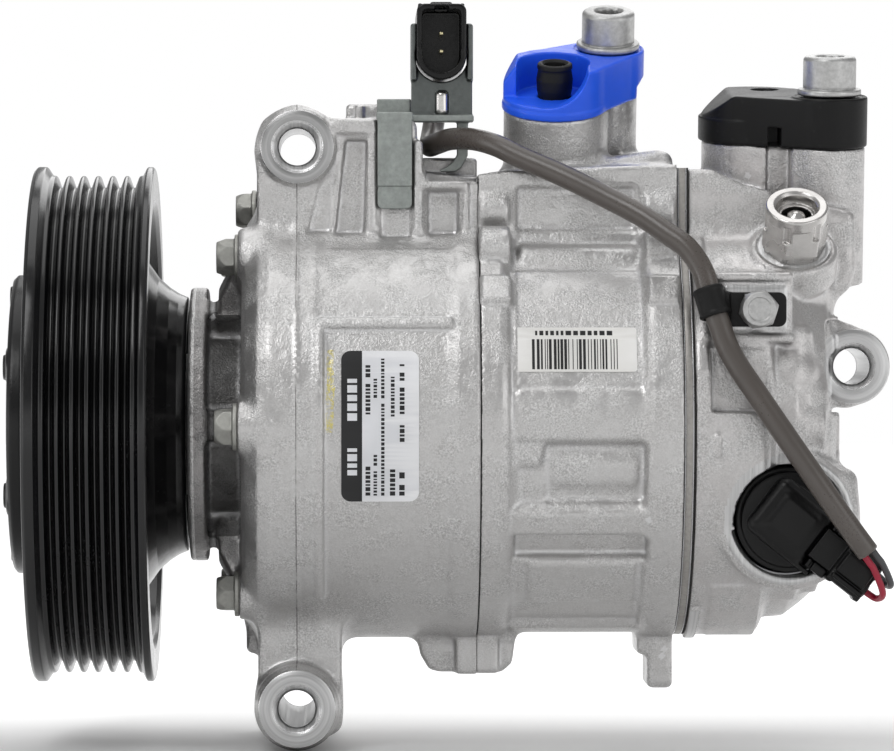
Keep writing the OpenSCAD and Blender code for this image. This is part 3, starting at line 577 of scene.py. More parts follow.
def cut_alloy(name, cx=None, cz=None, tone=0.62, rough=0.27):
    """Machined face with the tool's fine rings about (cx, cz), or with straight fine lines."""
    m = Mat(name)
    if cx is None:
        d = m.math("MULTIPLY", m.axis(0), 1.0)
    else:
        dx, dz = m.math("SUBTRACT", m.axis(0), cx * MM), m.math("SUBTRACT", m.axis(2), cz * MM)
        d = m.math("SQRT", m.math("ADD", m.math("MULTIPLY", dx, dx), m.math("MULTIPLY", dz, dz)))
    w = m.math("SINE", m.math("MULTIPLY", m.math("ADD", d, m.math("MULTIPLY", m.noise(90, 2), 0.0002)), 21000.0))
    w2 = m.noise(1400, 2, 0.5, m.node("CombineXYZ", 0, None, X=d, Y=m.math("MULTIPLY", m.axis(2) if cx is None else m.axis(1), 0.02)))
    c = m.ramp(w2, (0.3, (tone * 0.82,) * 3), (0.7, (tone * 1.12,) * 3))
    # painted shade: occluded crevices are darkened in the colour
    c = m.mix(m.painted_crevice_shade((1, 1, 1), (0, 0, 0), 0.003), c, (0.25, 0.25, 0.25))
    nb = m.bump(m.math("ADD", m.math("MULTIPLY", w, 0.25), w2), 0.00005, 0.5)
    return m.set(Base_Color=c, Metallic=0.95, Roughness=m.ramp(w2, (0.3, rough), (0.7, rough + 0.1)), Normal=nb)


def plated(name, col, rough=0.33, metal=0.95, speck=0.5, scale=900, bump=0.00004):
    m = Mat(name)
    a, b = m.noise(scale, 4, 0.65), m.noise(120, 3, 0.5)
    c = m.ramp(a, (0.3, tuple(x * (1 - 0.2 * speck) for x in col)), (0.7, tuple(min(1, x * (1 + 0.14 * speck)) for x in col)))
    c = m.mix(m.ramp(b, (0.45, 0.0), (0.75, 0.4)), c, tuple(x * 0.86 for x in col))
    # painted shade: occluded crevices are darkened in the colour
    c = m.mix(m.painted_crevice_shade((1, 1, 1), (0, 0, 0), 0.0025), c, tuple(x * 0.3 for x in col))
    return m.set(Base_Color=c, Metallic=metal, Roughness=m.ramp(b, (0.3, rough), (0.75, rough + 0.12)), Normal=m.bump(a, bump, 0.6))


def moulded(name, col, rough=0.4, grain=1500, bump=0.00003, spec=0.5, coat=0.0, sss=0.0):
    m = Mat(name)
    a, b = m.noise(grain, 4, 0.6), m.noise(70, 3, 0.5)
    c = m.mix(m.ramp(b, (0.35, 0.0), (0.7, 0.6)), col, tuple(x * 0.78 for x in col))
    # painted highlight: convex edges are lightened in the colour by pointiness
    c = m.mix(m.ramp(m.node("NewGeometry", "Pointiness"), (0.51, 0.0), (0.57, 0.5)), c, tuple(min(1, x * 1.4 + 0.008) for x in col))
    m.set(Base_Color=c, Metallic=0.0, Roughness=m.ramp(m.math("ADD", m.math("MULTIPLY", a, 0.5), m.math("MULTIPLY", b, 0.5)), (0.35, rough - 0.05), (0.65, rough + 0.08)), Normal=m.bump(a, bump, 0.5))
    m.set(Specular_IOR_Level=spec, Coat_Weight=coat, Coat_Roughness=0.12)
    if sss:
        m.set(Subsurface_Weight=sss, Subsurface_Radius=(0.002, 0.002, 0.004))
    return m.m


M_CAST = cast_alloy("cast_alloy_front", 1.0, 0.0, paint=True, line=49.1)
M_CAST_B = cast_alloy("cast_alloy_block", 1.03)
M_CAST_R = cast_alloy("cast_alloy_rear", 1.0, 0.01)
# darker copies of the cast alloy: painted shade on the neck ring behind the pulley, and deeper painted shade in the
# hollow behind it
M_CAST_NECK_SHADE = cast_alloy("cast_alloy_neck_painted_shade", 0.55, 0.01)
M_CAST_HOLLOW_SHADE = cast_alloy("cast_alloy_hollow_painted_shade", 0.16)
M_CUT = cut_alloy("machined_alloy")
M_CUT_UP = cut_alloy("machined_upper_lug", 49.2, 67.4, 0.42, 0.3)
M_CUT_LOW = cut_alloy("machined_lower_lug", 49.2, -67.9, 0.6, 0.3)
M_CUT_REAR = cut_alloy("machined_rear_lug", 185, 14.3, 0.62, 0.3)
M_BRIGHT = plated("bright_cut", (0.72, 0.72, 0.72), 0.2, 1.0, 0.3, 700)
M_STEEL = plated("turned_steel", (0.55, 0.55, 0.56), 0.22)
M_DARKSTEEL = plated("dark_steel", (0.30, 0.30, 0.31), 0.34)
M_ZINC = plated("zinc_plating", (0.52, 0.52, 0.515), 0.38, 0.9, 0.9, 900)
M_ZINC_D = plated("zinc_plating_dull", (0.40, 0.40, 0.375), 0.45, 0.85, 0.8, 600)
M_NICKEL = plated("bright_nickel", (0.60, 0.585, 0.57), 0.2, 1.0, 0.35, 500, 0.00003)
M_SHEET = plated("coated_sheet", (0.14, 0.152, 0.148), 0.34, 0.9, 0.9, 600)
M_STRAP = plated("coated_strap", (0.33, 0.355, 0.34), 0.46, 0.75, 0.9, 600)
M_BRONZE = plated("bush_bronze", (0.60, 0.42, 0.22), 0.35)
M_BRASS = plated("brass", (0.75, 0.58, 0.30), 0.3)
M_GOLD = plated("terminal_plating", (0.75, 0.68, 0.42), 0.25)
M_PLATE = plated("valve_plate_steel", (0.40, 0.385, 0.365), 0.42, 0.9, 0.8, 1100)
M_PAINT = moulded("pulley_coating", (0.0025, 0.0025, 0.003), 0.2, 900, 0.00002, 0.42, 0.25)
M_HUB = moulded("hub_coating", (0.004, 0.004, 0.0045), 0.3, 1100, 0.00006, 0.35, 0.1)
M_RUBBER = moulded("black_rubber", (0.004, 0.004, 0.004), 0.5, 2200, 0.00006, 0.3)
M_NYLON = moulded("black_nylon", (0.003, 0.003, 0.0032), 0.34, 1800, 0.00005, 0.3)
M_NYLON_G = moulded("black_nylon_smooth", (0.002, 0.002, 0.0022), 0.26, 1300, 0.00002, 0.32)
M_CAP = moulded("black_cap", (0.0022, 0.0022, 0.0025), 0.42, 1500, 0.00003, 0.28)
M_BLUE = moulded("blue_plastic", (0.018, 0.125, 0.97), 0.34, 900, 0.00002, 0.4, 0.05, 0.08)
M_GASKET = moulded("gasket_black", (0.012, 0.011, 0.011), 0.6, 2000, 0.00005, 0.3)
M_SHEATH = moulded("lead_sheath", (0.078, 0.066, 0.058), 0.3, 1500, 0.00004, 0.75)
M_RED = moulded("red_wire", (0.34, 0.01, 0.035), 0.35)
M_DARKWIRE = moulded("dark_wire", (0.06, 0.06, 0.065), 0.38)
M_PAPER = moulded("label_white", (0.74, 0.75, 0.78), 0.35, 1200, 0.00002, 0.5)
M_PAPER2 = moulded("label_cream", (0.80, 0.79, 0.765), 0.5, 1200, 0.00002, 0.4)
M_INK = moulded("label_ink", (0.012, 0.012, 0.013), 0.42, 1200, 0.00002, 0.4)


# ------------------------------------------------------------------ carried-over CAD nodes
def carry(node, mat, width=0.25, seg=2, angle=32):
    """A CAD node keeps its shape, with softened edges and its own material."""
    o = nodes[node]
    mats = mat if isinstance(mat, (list, tuple)) else [mat]
    if not o.material_slots:
        o.data.materials.append(mats[0])
    for i, s in enumerate(o.material_slots):
        s.material = mats[min(i, len(mats) - 1)]
    for p in o.data.polygons:
        p.use_smooth = True
    w = o.modifiers.new("weld", "WELD")
    w.merge_threshold = 1e-6
    if width:
        b = o.modifiers.new("edges", "BEVEL")
        b.width = width * MM
        b.segments = seg
        b.limit_method = "ANGLE"
        b.angle_limit = math.radians(angle)
        b.harden_normals = True
        b.use_clamp_overlap = True
    return o


def done(o, body, slot_name, *replaced):
    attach(o, body)
    if replaced:
        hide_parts(*replaced)
    return o


# ------------------------------------------------------------------ shared places, in mm, from the CAD frame
SL, DL = 18.5, 9.0
PS, PD = (112.2, -8, 77.9), (162.4, 4, 70.7)
SB, DB = (13.7, 13.5), (17.2, -14.2)
F_S, F_D = leaned(PS, SL), leaned(PD, DL)
F_SB = (at(F_S, (*SB, 0)), F_S[1])
F_DB = (at(F_D, (*DB, 0)), F_D[1])
ECV = (166.6, -22.2)
RV = leaned((169.2, -30, 42.1), 38)
PAD = (159, 27.9)
LUG_X, UP_Z, LOW_Z = 49.2, 67.4, -67.9
REAR_LUG = (185, 14.3)
TOPB = (17.5, 53.2)
BOLTS = [0, 60, 120, 180, 240, 300]
BORES = [30, 90, 150, 210, 270, 330]


def polar(a, r):
    return r * math.cos(math.radians(a)), r * math.sin(math.radians(a))


def bridge(ra, c, rb):
    l = math.hypot(*c)
    t = math.atan2(c[1], c[0])
    a = math.acos((ra - rb) / l)
    return [(ra * math.cos(t + a), ra * math.sin(t + a)), (c[0] + rb * math.cos(t + a), c[1] + rb * math.sin(t + a)),
            (c[0] + rb * math.cos(t - a), c[1] + rb * math.sin(t - a)), (ra * math.cos(t - a), ra * math.sin(t - a))]


def bolt_holes(c, x0, x1, r, rt=None):
    for a in BOLTS:
        y, z = polar(a, 47)
        c.cut(cylx(r, x0, x1, 0, y, z))
    c.cut(cylx(rt or r, x0, x1, 0, *TOPB))


# ------------------------------------------------------------------ front housing
H = 0.55
c = Cast((-3, -54.5, -78.5), (93.3, 56, 80), H)
c.add(turned(rnd([(0, 35.9), (46.6, 35.9), (49.4, 36.7), (52.6, 39.8), (53.5, 42.5), (53.5, 53.6), (52.7, 56.4), (52.7, 85), (53.5, 87.6), (53.5, 93.2), (0, 93.2)], 1.2)), 0)
c.add(cylx(17.4, -3, 26, 0.5), 0.5)
c.add(cylx(33.7, 22.8, 27.2, 0.7), 0.5)
c.add(cylx(27.5, 24, 38), 1.2)
# mould parting line round the barrel
c.add(turned([(52.6, 48.6), (53.5, 48.85), (53.86, 49.1), (53.86, 49.3), (53.5, 49.55), (52.6, 49.8)]), 0.25)
# webs behind the neck ring, and the bolt seats between them
for k in range(6):
    fr = radial(60 * k - 60)
    c.add(rbox((25, -3.6, 20), (37.2, 3.6, 33.0), 0.9, fr), 1.6)
    c.add(prism(rnd([(30, 26), (30, 37), (33, 43.5), (37.2, 46), (37.2, 26)], 1.5), -3.4, 3.4, 0.9, fr, "uw"), 1.6)
for a in BOLTS:
    y, z = polar(a, 47)
    c.add(cylx(6.3, 35.2, 45, 0.4, y, z), 1.6)
# upper web, ledge, lug
web = rnd([(39.4, 20), (39.4, 66.5), (41.2, 73.5), (49.2, 77.2), (56.6, 74.2), (78.2, 74.2), (78.2, 62.2), (94.6, 60.6), (94.6, 20)], 2.2)
c.add(prism(web, -26, 24, 1.3, WORLD, "uw"), 3.4)
c.cut(prism([(60.9, 69), (66.2, 69), (65.2, 46.5), (58.4, 46.5)], -40, -23.4, 0.6, WORLD, "uw"), 1.3)
c.cut(prism([(56.8, 66), (59, 69.5), (57, 47), (52, 47)], -40, -25.1, 0.5, WORLD, "uw"), 1.6)
c.cut(rbox((80.8, -40, 46.2), (88.2, -23.2, 57.0), 0.8), 1.3)
c.cut(rbox((69.4, -40, 45.5), (76.5, -25.2, 68), 0.8), 1.0)
c.add(rbox((57, -27.2, 70.6), (68.2, -22, 74.2), 0.9), 1.0)
c.add(rbox((66.3, -26.9, 47.5), (68.2, -22, 72), 0.9), 1.1)
c.add(rbox((77.4, -27.3, 46), (79.6, -22, 69), 0.9), 1.1)
c.add(rbox((89.4, -27.0, 42), (90.7, -22, 60.6), 0.6), 0.7)
c.add(rbox((79, -27.4, 57.2), (90, -22, 60.8), 1.1), 1.2)
# the ledge behind the hook stands higher than the front of the web
c.cut(rbox((80.4, -40, 59.1), (99, -10.4, 72), 0.5), 0.7)
c.add(prism(rnd([(79, 54), (79, 65.6), (92.4, 65.6), (96, 64.9), (96, 54)], 1.0), -7.6, 18, 0.7, WORLD, "uw"), 0.8)
c.cut(rbox((38, 6, 59.5), (58.4, 30, 80), 0.8), 1.5)
c.add(cyly(10, LUG_X, UP_Z, -25.4, 6, 0.9), 2.2)
c.add(cyly(9.5, LUG_X, UP_Z, -27.2, -20, 0.6), 0.8)
c.add(cyly(8.8, LUG_X, UP_Z, -28, -20, 0.12), 0)
c.add(rbox((61, 4, 66), (77.5, 24, 79.4), 1.1), 1.2)
c.add(rbox((59.6, 2.6, 73), (70.6, 24, 75.6), 0.6), 0.5)
c.add(rbox((63.4, 2.9, 75), (65.4, 6, 79.0), 0.5), 0.5)
c.add(rbox((73.5, 2.9, 75), (76.5, 6, 78.6), 0.5), 0.5)
# raised band below the upper panel
fr = radial(27.6)
c.add(rbox((54.6, -1.4, 48), (86.6, 1.4, 54.15), 0.7, fr), 0.7)
c.add(sector(48, 53.95, 53.6, 55.6, -52, 28.4, 0.5), 0.7)
c.add(sector(48, 53.05, 54.6, 86.8, 29.5, 54, 0.8), 0.6)
# left of the web: stepped shoulder and bolt boss fillet
c.add(cylx(7.4, 35.6, 42, 1.2, *polar(120, 46.4)), 2.4)
# lower lug
c.add(prism(rnd([(39.7, -38), (39.7, -64), (41, -74), (60, -74.6), (60, -38)], 2.6), -26, 26, 1.3, WORLD, "uw"), 4.2)
c.add(cyly(10.3, LUG_X, LOW_Z, -34.2, 34.2, 1.3), 2.4)
c.add(cyly(9.7, LUG_X, LOW_Z, -36.2, 36.2, 0.8), 0.8)
c.add(cyly(9.2, LUG_X, LOW_Z, -37, 37, 0.12), 0)
# foot beside the barrel's lower corner
c.add(rbox((36.6, -12, -56), (41, 12, -46), 1.5), 2.0)
# boss that the seam divides
c.add(prism(rnd([(77.5, -46), (79.2, -56.5), (81.4, -60.2), (84, -60.8), (95, -60.8), (95, -46)], 2), -9.5, 9.5, 1.2, WORLD, "uw"), 3.0)
c.add(rbox((87.8, -12.2, -61.2), (95, -6, -51), 0.9), 0.9)
# ribs on the far side
for a in (20, -20, 50, -50):
    c.add(rbox((50, -1.7, 48), (92.2, 1.7, 55.0), 0.9, radial(180 + a)), 2.0)
c.add(sector(48, 54.0, 60, 84, 172, 188, 1.2), 1.6)
c.cut(rbox((93.2, -70, -80), (99, 70, 80), 0))
# inside
c.cut(cylx(48.4, 42, 96))
c.cut(cylx(11.5, 40.6, 43))
c.cut(cylx(9, 15, 45))
c.cut(cylx(10, 24, 42))
c.cut(cylx(12.9, -6, 16))
c.cut(cyl((-3.4, 0, 0), (-2.2, 0, 0), 14.2, 0, 12.9))
c.cut((lambda X, Y, Z: np.maximum(np.maximum(16.6 - np.sqrt(Y * Y + Z * Z), np.sqrt(Y * Y + Z * Z) - 20), np.abs(X + 0.5) - 0.75), (vec(-1.5, -20, -20), vec(0.5, 20, 20))))
bolt_holes(c, 30, 100, 3.4)
c.cut(cylx(5.8, 30, 38.6, 0, *TOPB))
c.cut(cyly(4.5, LUG_X, UP_Z, -40, 20))
c.cut(cyly(4.5, LUG_X, LOW_Z, -50, 50))
c.cut(cyly(6.1, LUG_X, UP_Z, -28.1, -26.5, 0, 4.5))
c.cut(cyly(5.9, LUG_X, LOW_Z, -37.1, -35.7, 0, 4.5))
c.cut(cyly(4.5, LUG_X, LOW_Z, 35.7, 37.1, 0, 5.9))


def pick_front(C, N):
    x, y, z = C.T
    ru, rl = np.hypot(x - LUG_X, z - UP_Z), np.hypot(x - LUG_X, z - LOW_Z)
    i = np.zeros(len(C), int)
    i[(ru < 8.85) & (y < -26.2)] = 2
    i[(ru < 4.9)] = 1
    i[(ru > 4.6) & (ru < 6.15) & (y < -26.3) & (N[:, 1] > -0.93)] = 1
    i[(rl < 9.3) & (np.abs(y) > 36.6)] = 3
    i[(rl < 6.1) & (np.abs(y) > 34)] = 1
    i[(rl < 4.9)] = 1
    i[(np.hypot(y, z) < 49) & (x > 38.5)] = 1
    i[(x > 92.9) & (N[:, 0] > 0.9)] = 1
    q = np.hypot(y, z)
    # painted shade: the neck ring and the webs behind it take the darker copy, and the hollow behind the ring takes the
    # darkest one
    i[(x > 24) & (x < 36.6) & (q < 46)] = 4
    i[(x > 27.4) & (x < 35.4) & (q < 33.4)] = 5
    i[(np.hypot(y, z) < 17.8) & (x < 22)] = 1
    i[(x < 23.4) & (np.abs(np.hypot(y, z) - 30) < 3.2)] = 1
    i[(N[:, 0] < -0.9) & (x < 35.9)] = np.where((np.hypot(y, z)[(N[:, 0] < -0.9) & (x < 35.9)] > 40), 1, i[(N[:, 0] < -0.9) & (x < 35.9)])
    return i


done(c.mesh("front_housing_cast", [M_CAST, M_CUT, M_CUT_UP, M_CUT_LOW, M_CAST_NECK_SHADE, M_CAST_HOLLOW_SHADE], pick_front), "root", "cast_aluminium", "front_housing")

# ------------------------------------------------------------------ cylinder block with the suction tower
c = Cast((92.7, -54, -66), (141.3, 54.5, 80), H)
c.add(turned([(0, 92.8), (53, 92.8), (53, 98.0), (52.4, 99.4), (51.2, 100.6), (50.8, 101.4), (50.8, 130.8), (51.2, 131.6), (52.4, 132.8), (53, 134.2), (53, 141.2), (0, 141.2)]), 0)
c.add(prism(rnd([(90, 20), (90, 60.4), (100, 62), (133, 63.3), (144, 63.3), (144, 20)], 1.5), -26, 24, 1.2, WORLD, "uw"), 3.0)
# flange bumps beside the seam and before the valve plate
for x0, x1 in ((93.2, 100.6), (133.2, 140.8)):
    c.add(cylx(5.2, x0, x1, 1.0, -22.6, 52.2), 1.2)
    c.add(cylx(5.0, x0, x1, 0.9, -31.0, 43.2), 1.6)
    c.add(rbox((x0, -4, 49), (x1, 4, 54.4), 0.9, radial(38)), 1.4)
# suction tower
c.add(bar(F_S, (0, 0, -34), (0, 0, 0), 12.4, 0.5), 2.6)
c.add(bar(F_S, (*SB, -34), (*SB, 0), 7.4, 0.5), 1.6)
c.add(prism(bridge(12.2, SB, 6.6), -34, -0.1, 0.3, F_S), 1.0)
c.add(bar(F_S, (-1, 1, -34), (0, 0, -17), 15.5, 2.5, 12.4), 3.0)
c.add(prism(rnd([(100.5, 40), (100.5, 62.5), (137.5, 67.5), (141, 66.6), (141, 40)], 2.5), -12, 20, 2.2, WORLD, "uw"), 3.0)
c.cut(bar(F_S, (16.9, 1.4, -16), (16.9, 1.4, 2), 3.7, 0.2), 1.3)
# label pad with a thin border, and the cast pockets below it
c.add(sector(46, 51.15, 101.2, 133.4, 9.4, 47, 0.5), 0.5)
for x0, x1, a0, a1 in ((100.9, 101.7, 10, 46), (132.9, 133.7, 10, 46), (102, 132.6, 9.1, 10.0)):
    c.add(sector(46, 51.6, x0, x1, a0, a1, 0.35), 0.5)
c.cut(rbox((102.5, -45, 47.5), (131, -24.4, 57.5), 1.0), 2.0)
c.add(cyl((103, -29.5, 40.5), (131, -29.5, 40.5), 2.6, 1.2), 3.0)
c.add(sector(46, 51.7, 100.9, 133.7, -3.6, 9.3, 1.2), 1.4)
c.cut(sector(48.6, 60, 108.0, 132.2, -21.2, -4.6, 1.4), 1.7)
c.cut(rbox((107.5, -60, -14), (112.0, -48.4, -7), 1.5), 1.6)
c.cut(sector(49.8, 60, 101.8, 108.0, -21.6, -11, 1.2), 1.6)
c.add(sector(46, 49.6, 109.5, 131, -17, -8, 2.5), 2.0)
c.add(sector(46, 48.5, 112.5, 128.5, -9.3, -8.7, 0.15), 0.2)
c.add(sector(46, 52.2, 100.6, 133.6, -30.2, -22.8, 1.2), 1.6)
c.cut(sector(48.9, 60, 101.2, 132.8, -38.4, -31.0, 0.9), 1.4)
c.add(sector(46, 51.8, 104.5, 130.5, -56.0, -39.2, 1.4), 1.4)
c.cut(sector(50.2, 60, 101.2, 131.8, -70.5, -57.6, 1.0), 1.4)
c.add(sector(46, 52.0, 100.6, 133.6, -80, -71.5, 1.2), 1.2)
# far side: ribs and pockets
for a in (0, 40, -40):
    c.add(rbox((98, -1.8, 46), (134, 1.8, 52.8), 0.9, radial(180 + a)), 1.8)
for a in (20, -20, 58, -60):
    c.cut(sector(49.0, 60, 103, 131, 180 + a - 12, 180 + a + 12, 1.0), 1.6)
# boss that the seam divides, and the foot before the valve plate
c.add(prism(rnd([(90, -46), (90, -60.8), (99.4, -60.8), (101.8, -58.6), (103.6, -46)], 2), -9.5, 9.5, 1.2, WORLD, "uw"), 3.0)
c.add(rbox((90, -12.2, -61.0), (98.4, -6, -51), 0.9), 0.9)
c.add(rbox((135, -10, -64.8), (141.2, 10, -46), 1.4), 1.6)
c.add(rbox((132.4, -9.5, -56.6), (138, 9.5, -46), 1.4), 1.6)
c.cut(rbox((85, -70, -80), (92.8, 70, 90), 0))
c.cut(rbox((141.2, -70, -80), (148, 70, 90), 0))
# inside
for a in BORES:
    y, z = polar(a, 33.5)
    c.cut(cylx(14.55, 88, 146, 0, y, z))
c.cut(cylx(8.4, 90, 130))
c.cut(cylx(10, 104, 124))
c.cut(cylx(17.9, 90, 95.6))
c.cut(cylx(14.5, 90, 100))
# room for the rim of the swash plate at full tilt
c.cut(cylx(42.3, 90, 95.2))
c.cut((lambda X, Y, Z: np.maximum(np.maximum(50.6 - np.sqrt(Y * Y + Z * Z), np.sqrt(Y * Y + Z * Z) - 52.2), np.abs(X - 92.6) - 1.6), (vec(91, -53, -53), vec(94.2, 53, 53))))
bolt_holes(c, 90, 95, 3.4)
c.cut(bar(F_S, (0, 0, -26), (0, 0, 4), 9))
c.cut(bar(F_S, (*SB, -18), (*SB, 4), 4))
c.cut(bar(F_S, (0, 0, -1.3), (0, 0, 0.1), 9, 0, 10.2))


def pick_block(C, N):
    x, y, z = C.T
    r = np.hypot(y, z)
    i = np.zeros(len(C), int)
    i[((x > 140.9) | (x < 93.1)) & (np.abs(N[:, 0]) > 0.9)] = 1
    i[(r < 42.6) & (x < 95.6)] = 1
    for a in BORES:
        yy, zz = polar(a, 33.5)
        i[(np.hypot(y - yy, z - zz) < 14.8)] = 1
    d = (C - np.array(F_S[0])) @ F_S[1][2]
    i[(d > -0.35) & (z > 70)] = 1
    return i


done(c.mesh("cylinder_block_cast", [M_CAST_B, M_CUT], pick_block), "root", "cast_aluminium", "cylinder_block")

# ------------------------------------------------------------------ rear housing with the discharge tower
c = Cast((143.7, -54, -53), (195, 53, 72), H)
c.add(turned(rnd([(0, 143.8), (52, 143.8), (52, 160.2), (51.2, 161.8), (47.8, 163.4), (47.4, 168.6), (44.4, 172.6), (40.4, 177.2), (36.4, 179), (0, 179)], 1.0)), 0)
c.add(prism(rnd([(140, 20), (140, 62.3), (150, 62.3), (158, 58.5), (184.8, 52), (185, 38), (183.6, 33.4), (178.6, 29), (176.6, 20)], 2.4), -24, 22, 2.0, WORLD, "uw"), 3.4)
c.add(sector(47, 52.6, 144.2, 147.4, 14, 62, 0.5), 0.8)
# discharge tower
c.add(bar(F_D, (0, 0, -34), (0, 0, 0), 13, 0.5), 1.8)
c.add(bar(F_D, (*DB, -34), (*DB, 0), 8.9, 0.5), 1.2)
c.add(prism(bridge(12.7, DB, 8.2), -34, -0.1, 0.3, F_D), 1.2)
c.add(bar(F_D, (2, -2, -34), (0, 0, -12), 15.5, 2.5, 13), 3.0)
# upright hollow between the port and the screw column
c.cut(rbox((2.0, -30, -22), (7.6, -13.7, 2), 0.7, F_D), 1.0)
# control valve boss
c.add(cyly(16.9, ECV[0], ECV[1], -45.2, 22, 1.4), 2.6)
c.add(cyly(15.4, ECV[0], ECV[1], -46, -30, 0.4), 0.6)
c.add(rbox((174, -44, -26), (183.6, -20, -10), 3.5), 2.6)
# relief valve boss and its rolled lip
c.add(bar(RV, (0, 0, -24), (0, 0, -0.6), 9.6, 0.6), 2.2)
c.add(bar(RV, (0, 0, -7), (0, 0, 1.5), 10.6, 1.5), 1.5)
c.cut(torus(at(RV, (0, 0, 1.7)), RV[1][2], 8.5, 0.75), 0.3)
# clip pad: machined face inside a raised cast rim
c.add(rbox((145.5, -47.2, 20.2), (167.4, -20, 36.6), 1.0), 2.0)
c.add(rbox((145.5, -48.0, 34.6), (167.4, -40, 36.8), 0.8), 0.6)
c.add(rbox((145.5, -48.4, 20.0), (167.6, -40, 22.0), 0.7), 0.6)
c.add(rbox((151.2, -47.6, 23.2), (165.8, -30, 33.4), 0.2), 0.3)
# rough panel below the pad, with its rounded neighbours
c.cut(rbox((147.9, -60, 3.6), (164.8, -47.7, 18.6), 0.6), 0.8)
c.add(cyl((168.6, -40.6, 2), (168.6, -40.6, 24), 4.2, 2.0), 2.2)
c.add(ball((168.0, -41.0, 12.6), 5.4), 2.0)
c.add(ball((171.8, -38.0, 6.2), 5.6), 2.4)
c.add(rbox((163.4, -46.2, -4), (172.8, -30, 3.4), 2.6), 2.4)
c.add(sector(45, 52.6, 148.2, 150.2, -8, -2, 0.5), 0.5)
# raised skirt at the bottom, and a bright machined patch
c.add(sector(46, 52.55, 148.6, 161.2, -81, -47.5, 0.5), 0.4)
c.add(sector(47, 53.0, 144.1, 146.9, -86, -58, 0.25), 0.2)
c.add(sector(44, 49.6, 160, 170.2, -60, -30, 1.4), 1.8)
# rear lug and its arm
c.add(prism(rnd([(163, 4.6), (185, 4.8), (185, 23.8), (177.6, 28.6), (163, 28.6)], 1.6), -12, 18, 1.4, WORLD, "uw"), 3.6)
c.add(cyly(9.6, REAR_LUG[0], REAR_LUG[1], -12.6, 18.6, 1.2), 3.0)
c.add(cyly(9.1, REAR_LUG[0], REAR_LUG[1], -14, 20, 0.12), 0)
# end face: ring, ribs, plug seats
c.add(turned([(22.5, 178), (22.5, 180.2), (23.2, 180.8), (25.8, 180.8), (26.5, 180.2), (26.5, 178)]), 1.0)
for a in (30, 90, 150, 210, 270, 330):
    c.add(rbox((177, -1.6, 24), (180.3, 1.6, 38.5), 0.7, radial(a + 12)), 1.4)
c.add(cylx(7.5, 177, 180.8, 0.7), 1.0)
c.cut(cylx(3.6, 179.2, 184), 0.4)
# room for a wrench in front of the rear lug
c.cut(rbox((176.6, -60, 3.2), (192, -15.0, 25.4), 1.5), 0.8)
for a in BOLTS:
    y, z = polar(a, 41.0)
    c.add(cylx(5.2, 160, 175.6, 1.0, y, z), 2.0)
# inside
c.cut((lambda X, Y, Z: np.maximum(np.maximum(np.sqrt(Y * Y + Z * Z) - 22, 6 - np.sqrt(Y * Y + Z * Z)), X - 152), (vec(143, -22, -22), vec(152, 22, 22))))
c.cut((lambda X, Y, Z: np.maximum(np.maximum(np.sqrt(Y * Y + Z * Z) - 43.3, 26 - np.sqrt(Y * Y + Z * Z)), X - 150), (vec(143, -44, -44), vec(150, 44, 44))))
c.cut(rbox((138, -70, -80), (143.8, 70, 90), 0))
bolt_holes(c, 140, 147, 3.05)
c.cut(bar(F_D, (0, 0, -24), (0, 0, 6), 7.5))
c.cut(bar(F_D, (0, 0, -1.3), (0, 0, 0.1), 7.5, 0, 8.7))
c.cut(bar(F_D, (*DB, -18), (*DB, 4), 4))
c.cut(cyly(13.1, ECV[0], ECV[1], -56, -38))
c.cut(cyly(14.2, ECV[0], ECV[1], -46.2, -44.9, 0, 13.1))
c.cut(cyly(9.5, ECV[0], ECV[1], -50, 6))
c.cut(bar(RV, (0, 0, -9), (0, 0, 3), 5.05))
c.cut(cyly(3.05, PAD[0], PAD[1], -60, -34))
c.cut(cyly(4.5, REAR_LUG[0], REAR_LUG[1], -30, 40))
c.cut(cyly(5.7, REAR_LUG[0], REAR_LUG[1], -14.1, -12.8, 0, 4.5))
c.cut(cyly(4.5, REAR_LUG[0], REAR_LUG[1], 18.8, 20.1, 0, 5.7))


def pick_rear(C, N):
    x, y, z = C.T
    r = np.hypot(y, z)
    i = np.zeros(len(C), int)
    rl = np.hypot(x - REAR_LUG[0], z - REAR_LUG[1])
    re = np.hypot(x - ECV[0], z - ECV[1])
    i[(x < 144.1) & (N[:, 0] < -0.9)] = 1
    i[(rl < 9.3) & ((y < -13.6) | (y > 19.6))] = 2
    i[(rl < 5.9) & (y > -14.2)] = 1
    i[(re < 15.6) & (y < -37.6)] = 1
    i[(y < -47.3) & (x > 151) & (x < 166) & (z > 23) & (z < 33.6)] = 1
    i[(r > 52.8) & (x < 147) & (z < -40)] = 1
    d = (C - np.array(F_D[0])) @ F_D[1][2]
    i[(d > -0.35) & (z > 60)] = 1
    e = (C - np.array(RV[0])) @ RV[1][2]
    q = np.linalg.norm(np.cross(C - np.array(RV[0]), RV[1][2]), axis=1)
    i[(e > 1.0) & (q < 8.9) & (z > 30)] = 1
    return i


done(c.mesh("rear_housing_cast", [M_CAST_R, M_CUT, M_CUT_REAR], pick_rear), "root", "cast_aluminium", "rear_housing")
del c

# ------------------------------------------------------------------ pulley and hub
def groove(i, p=3.56, r=61.3, d=2.9):
    return [(r, p * i + 0.42), (r - d, p * i + 1.45), (r - d, p * (i + 1) - 1.45), (r, p * (i + 1) - 0.42)]


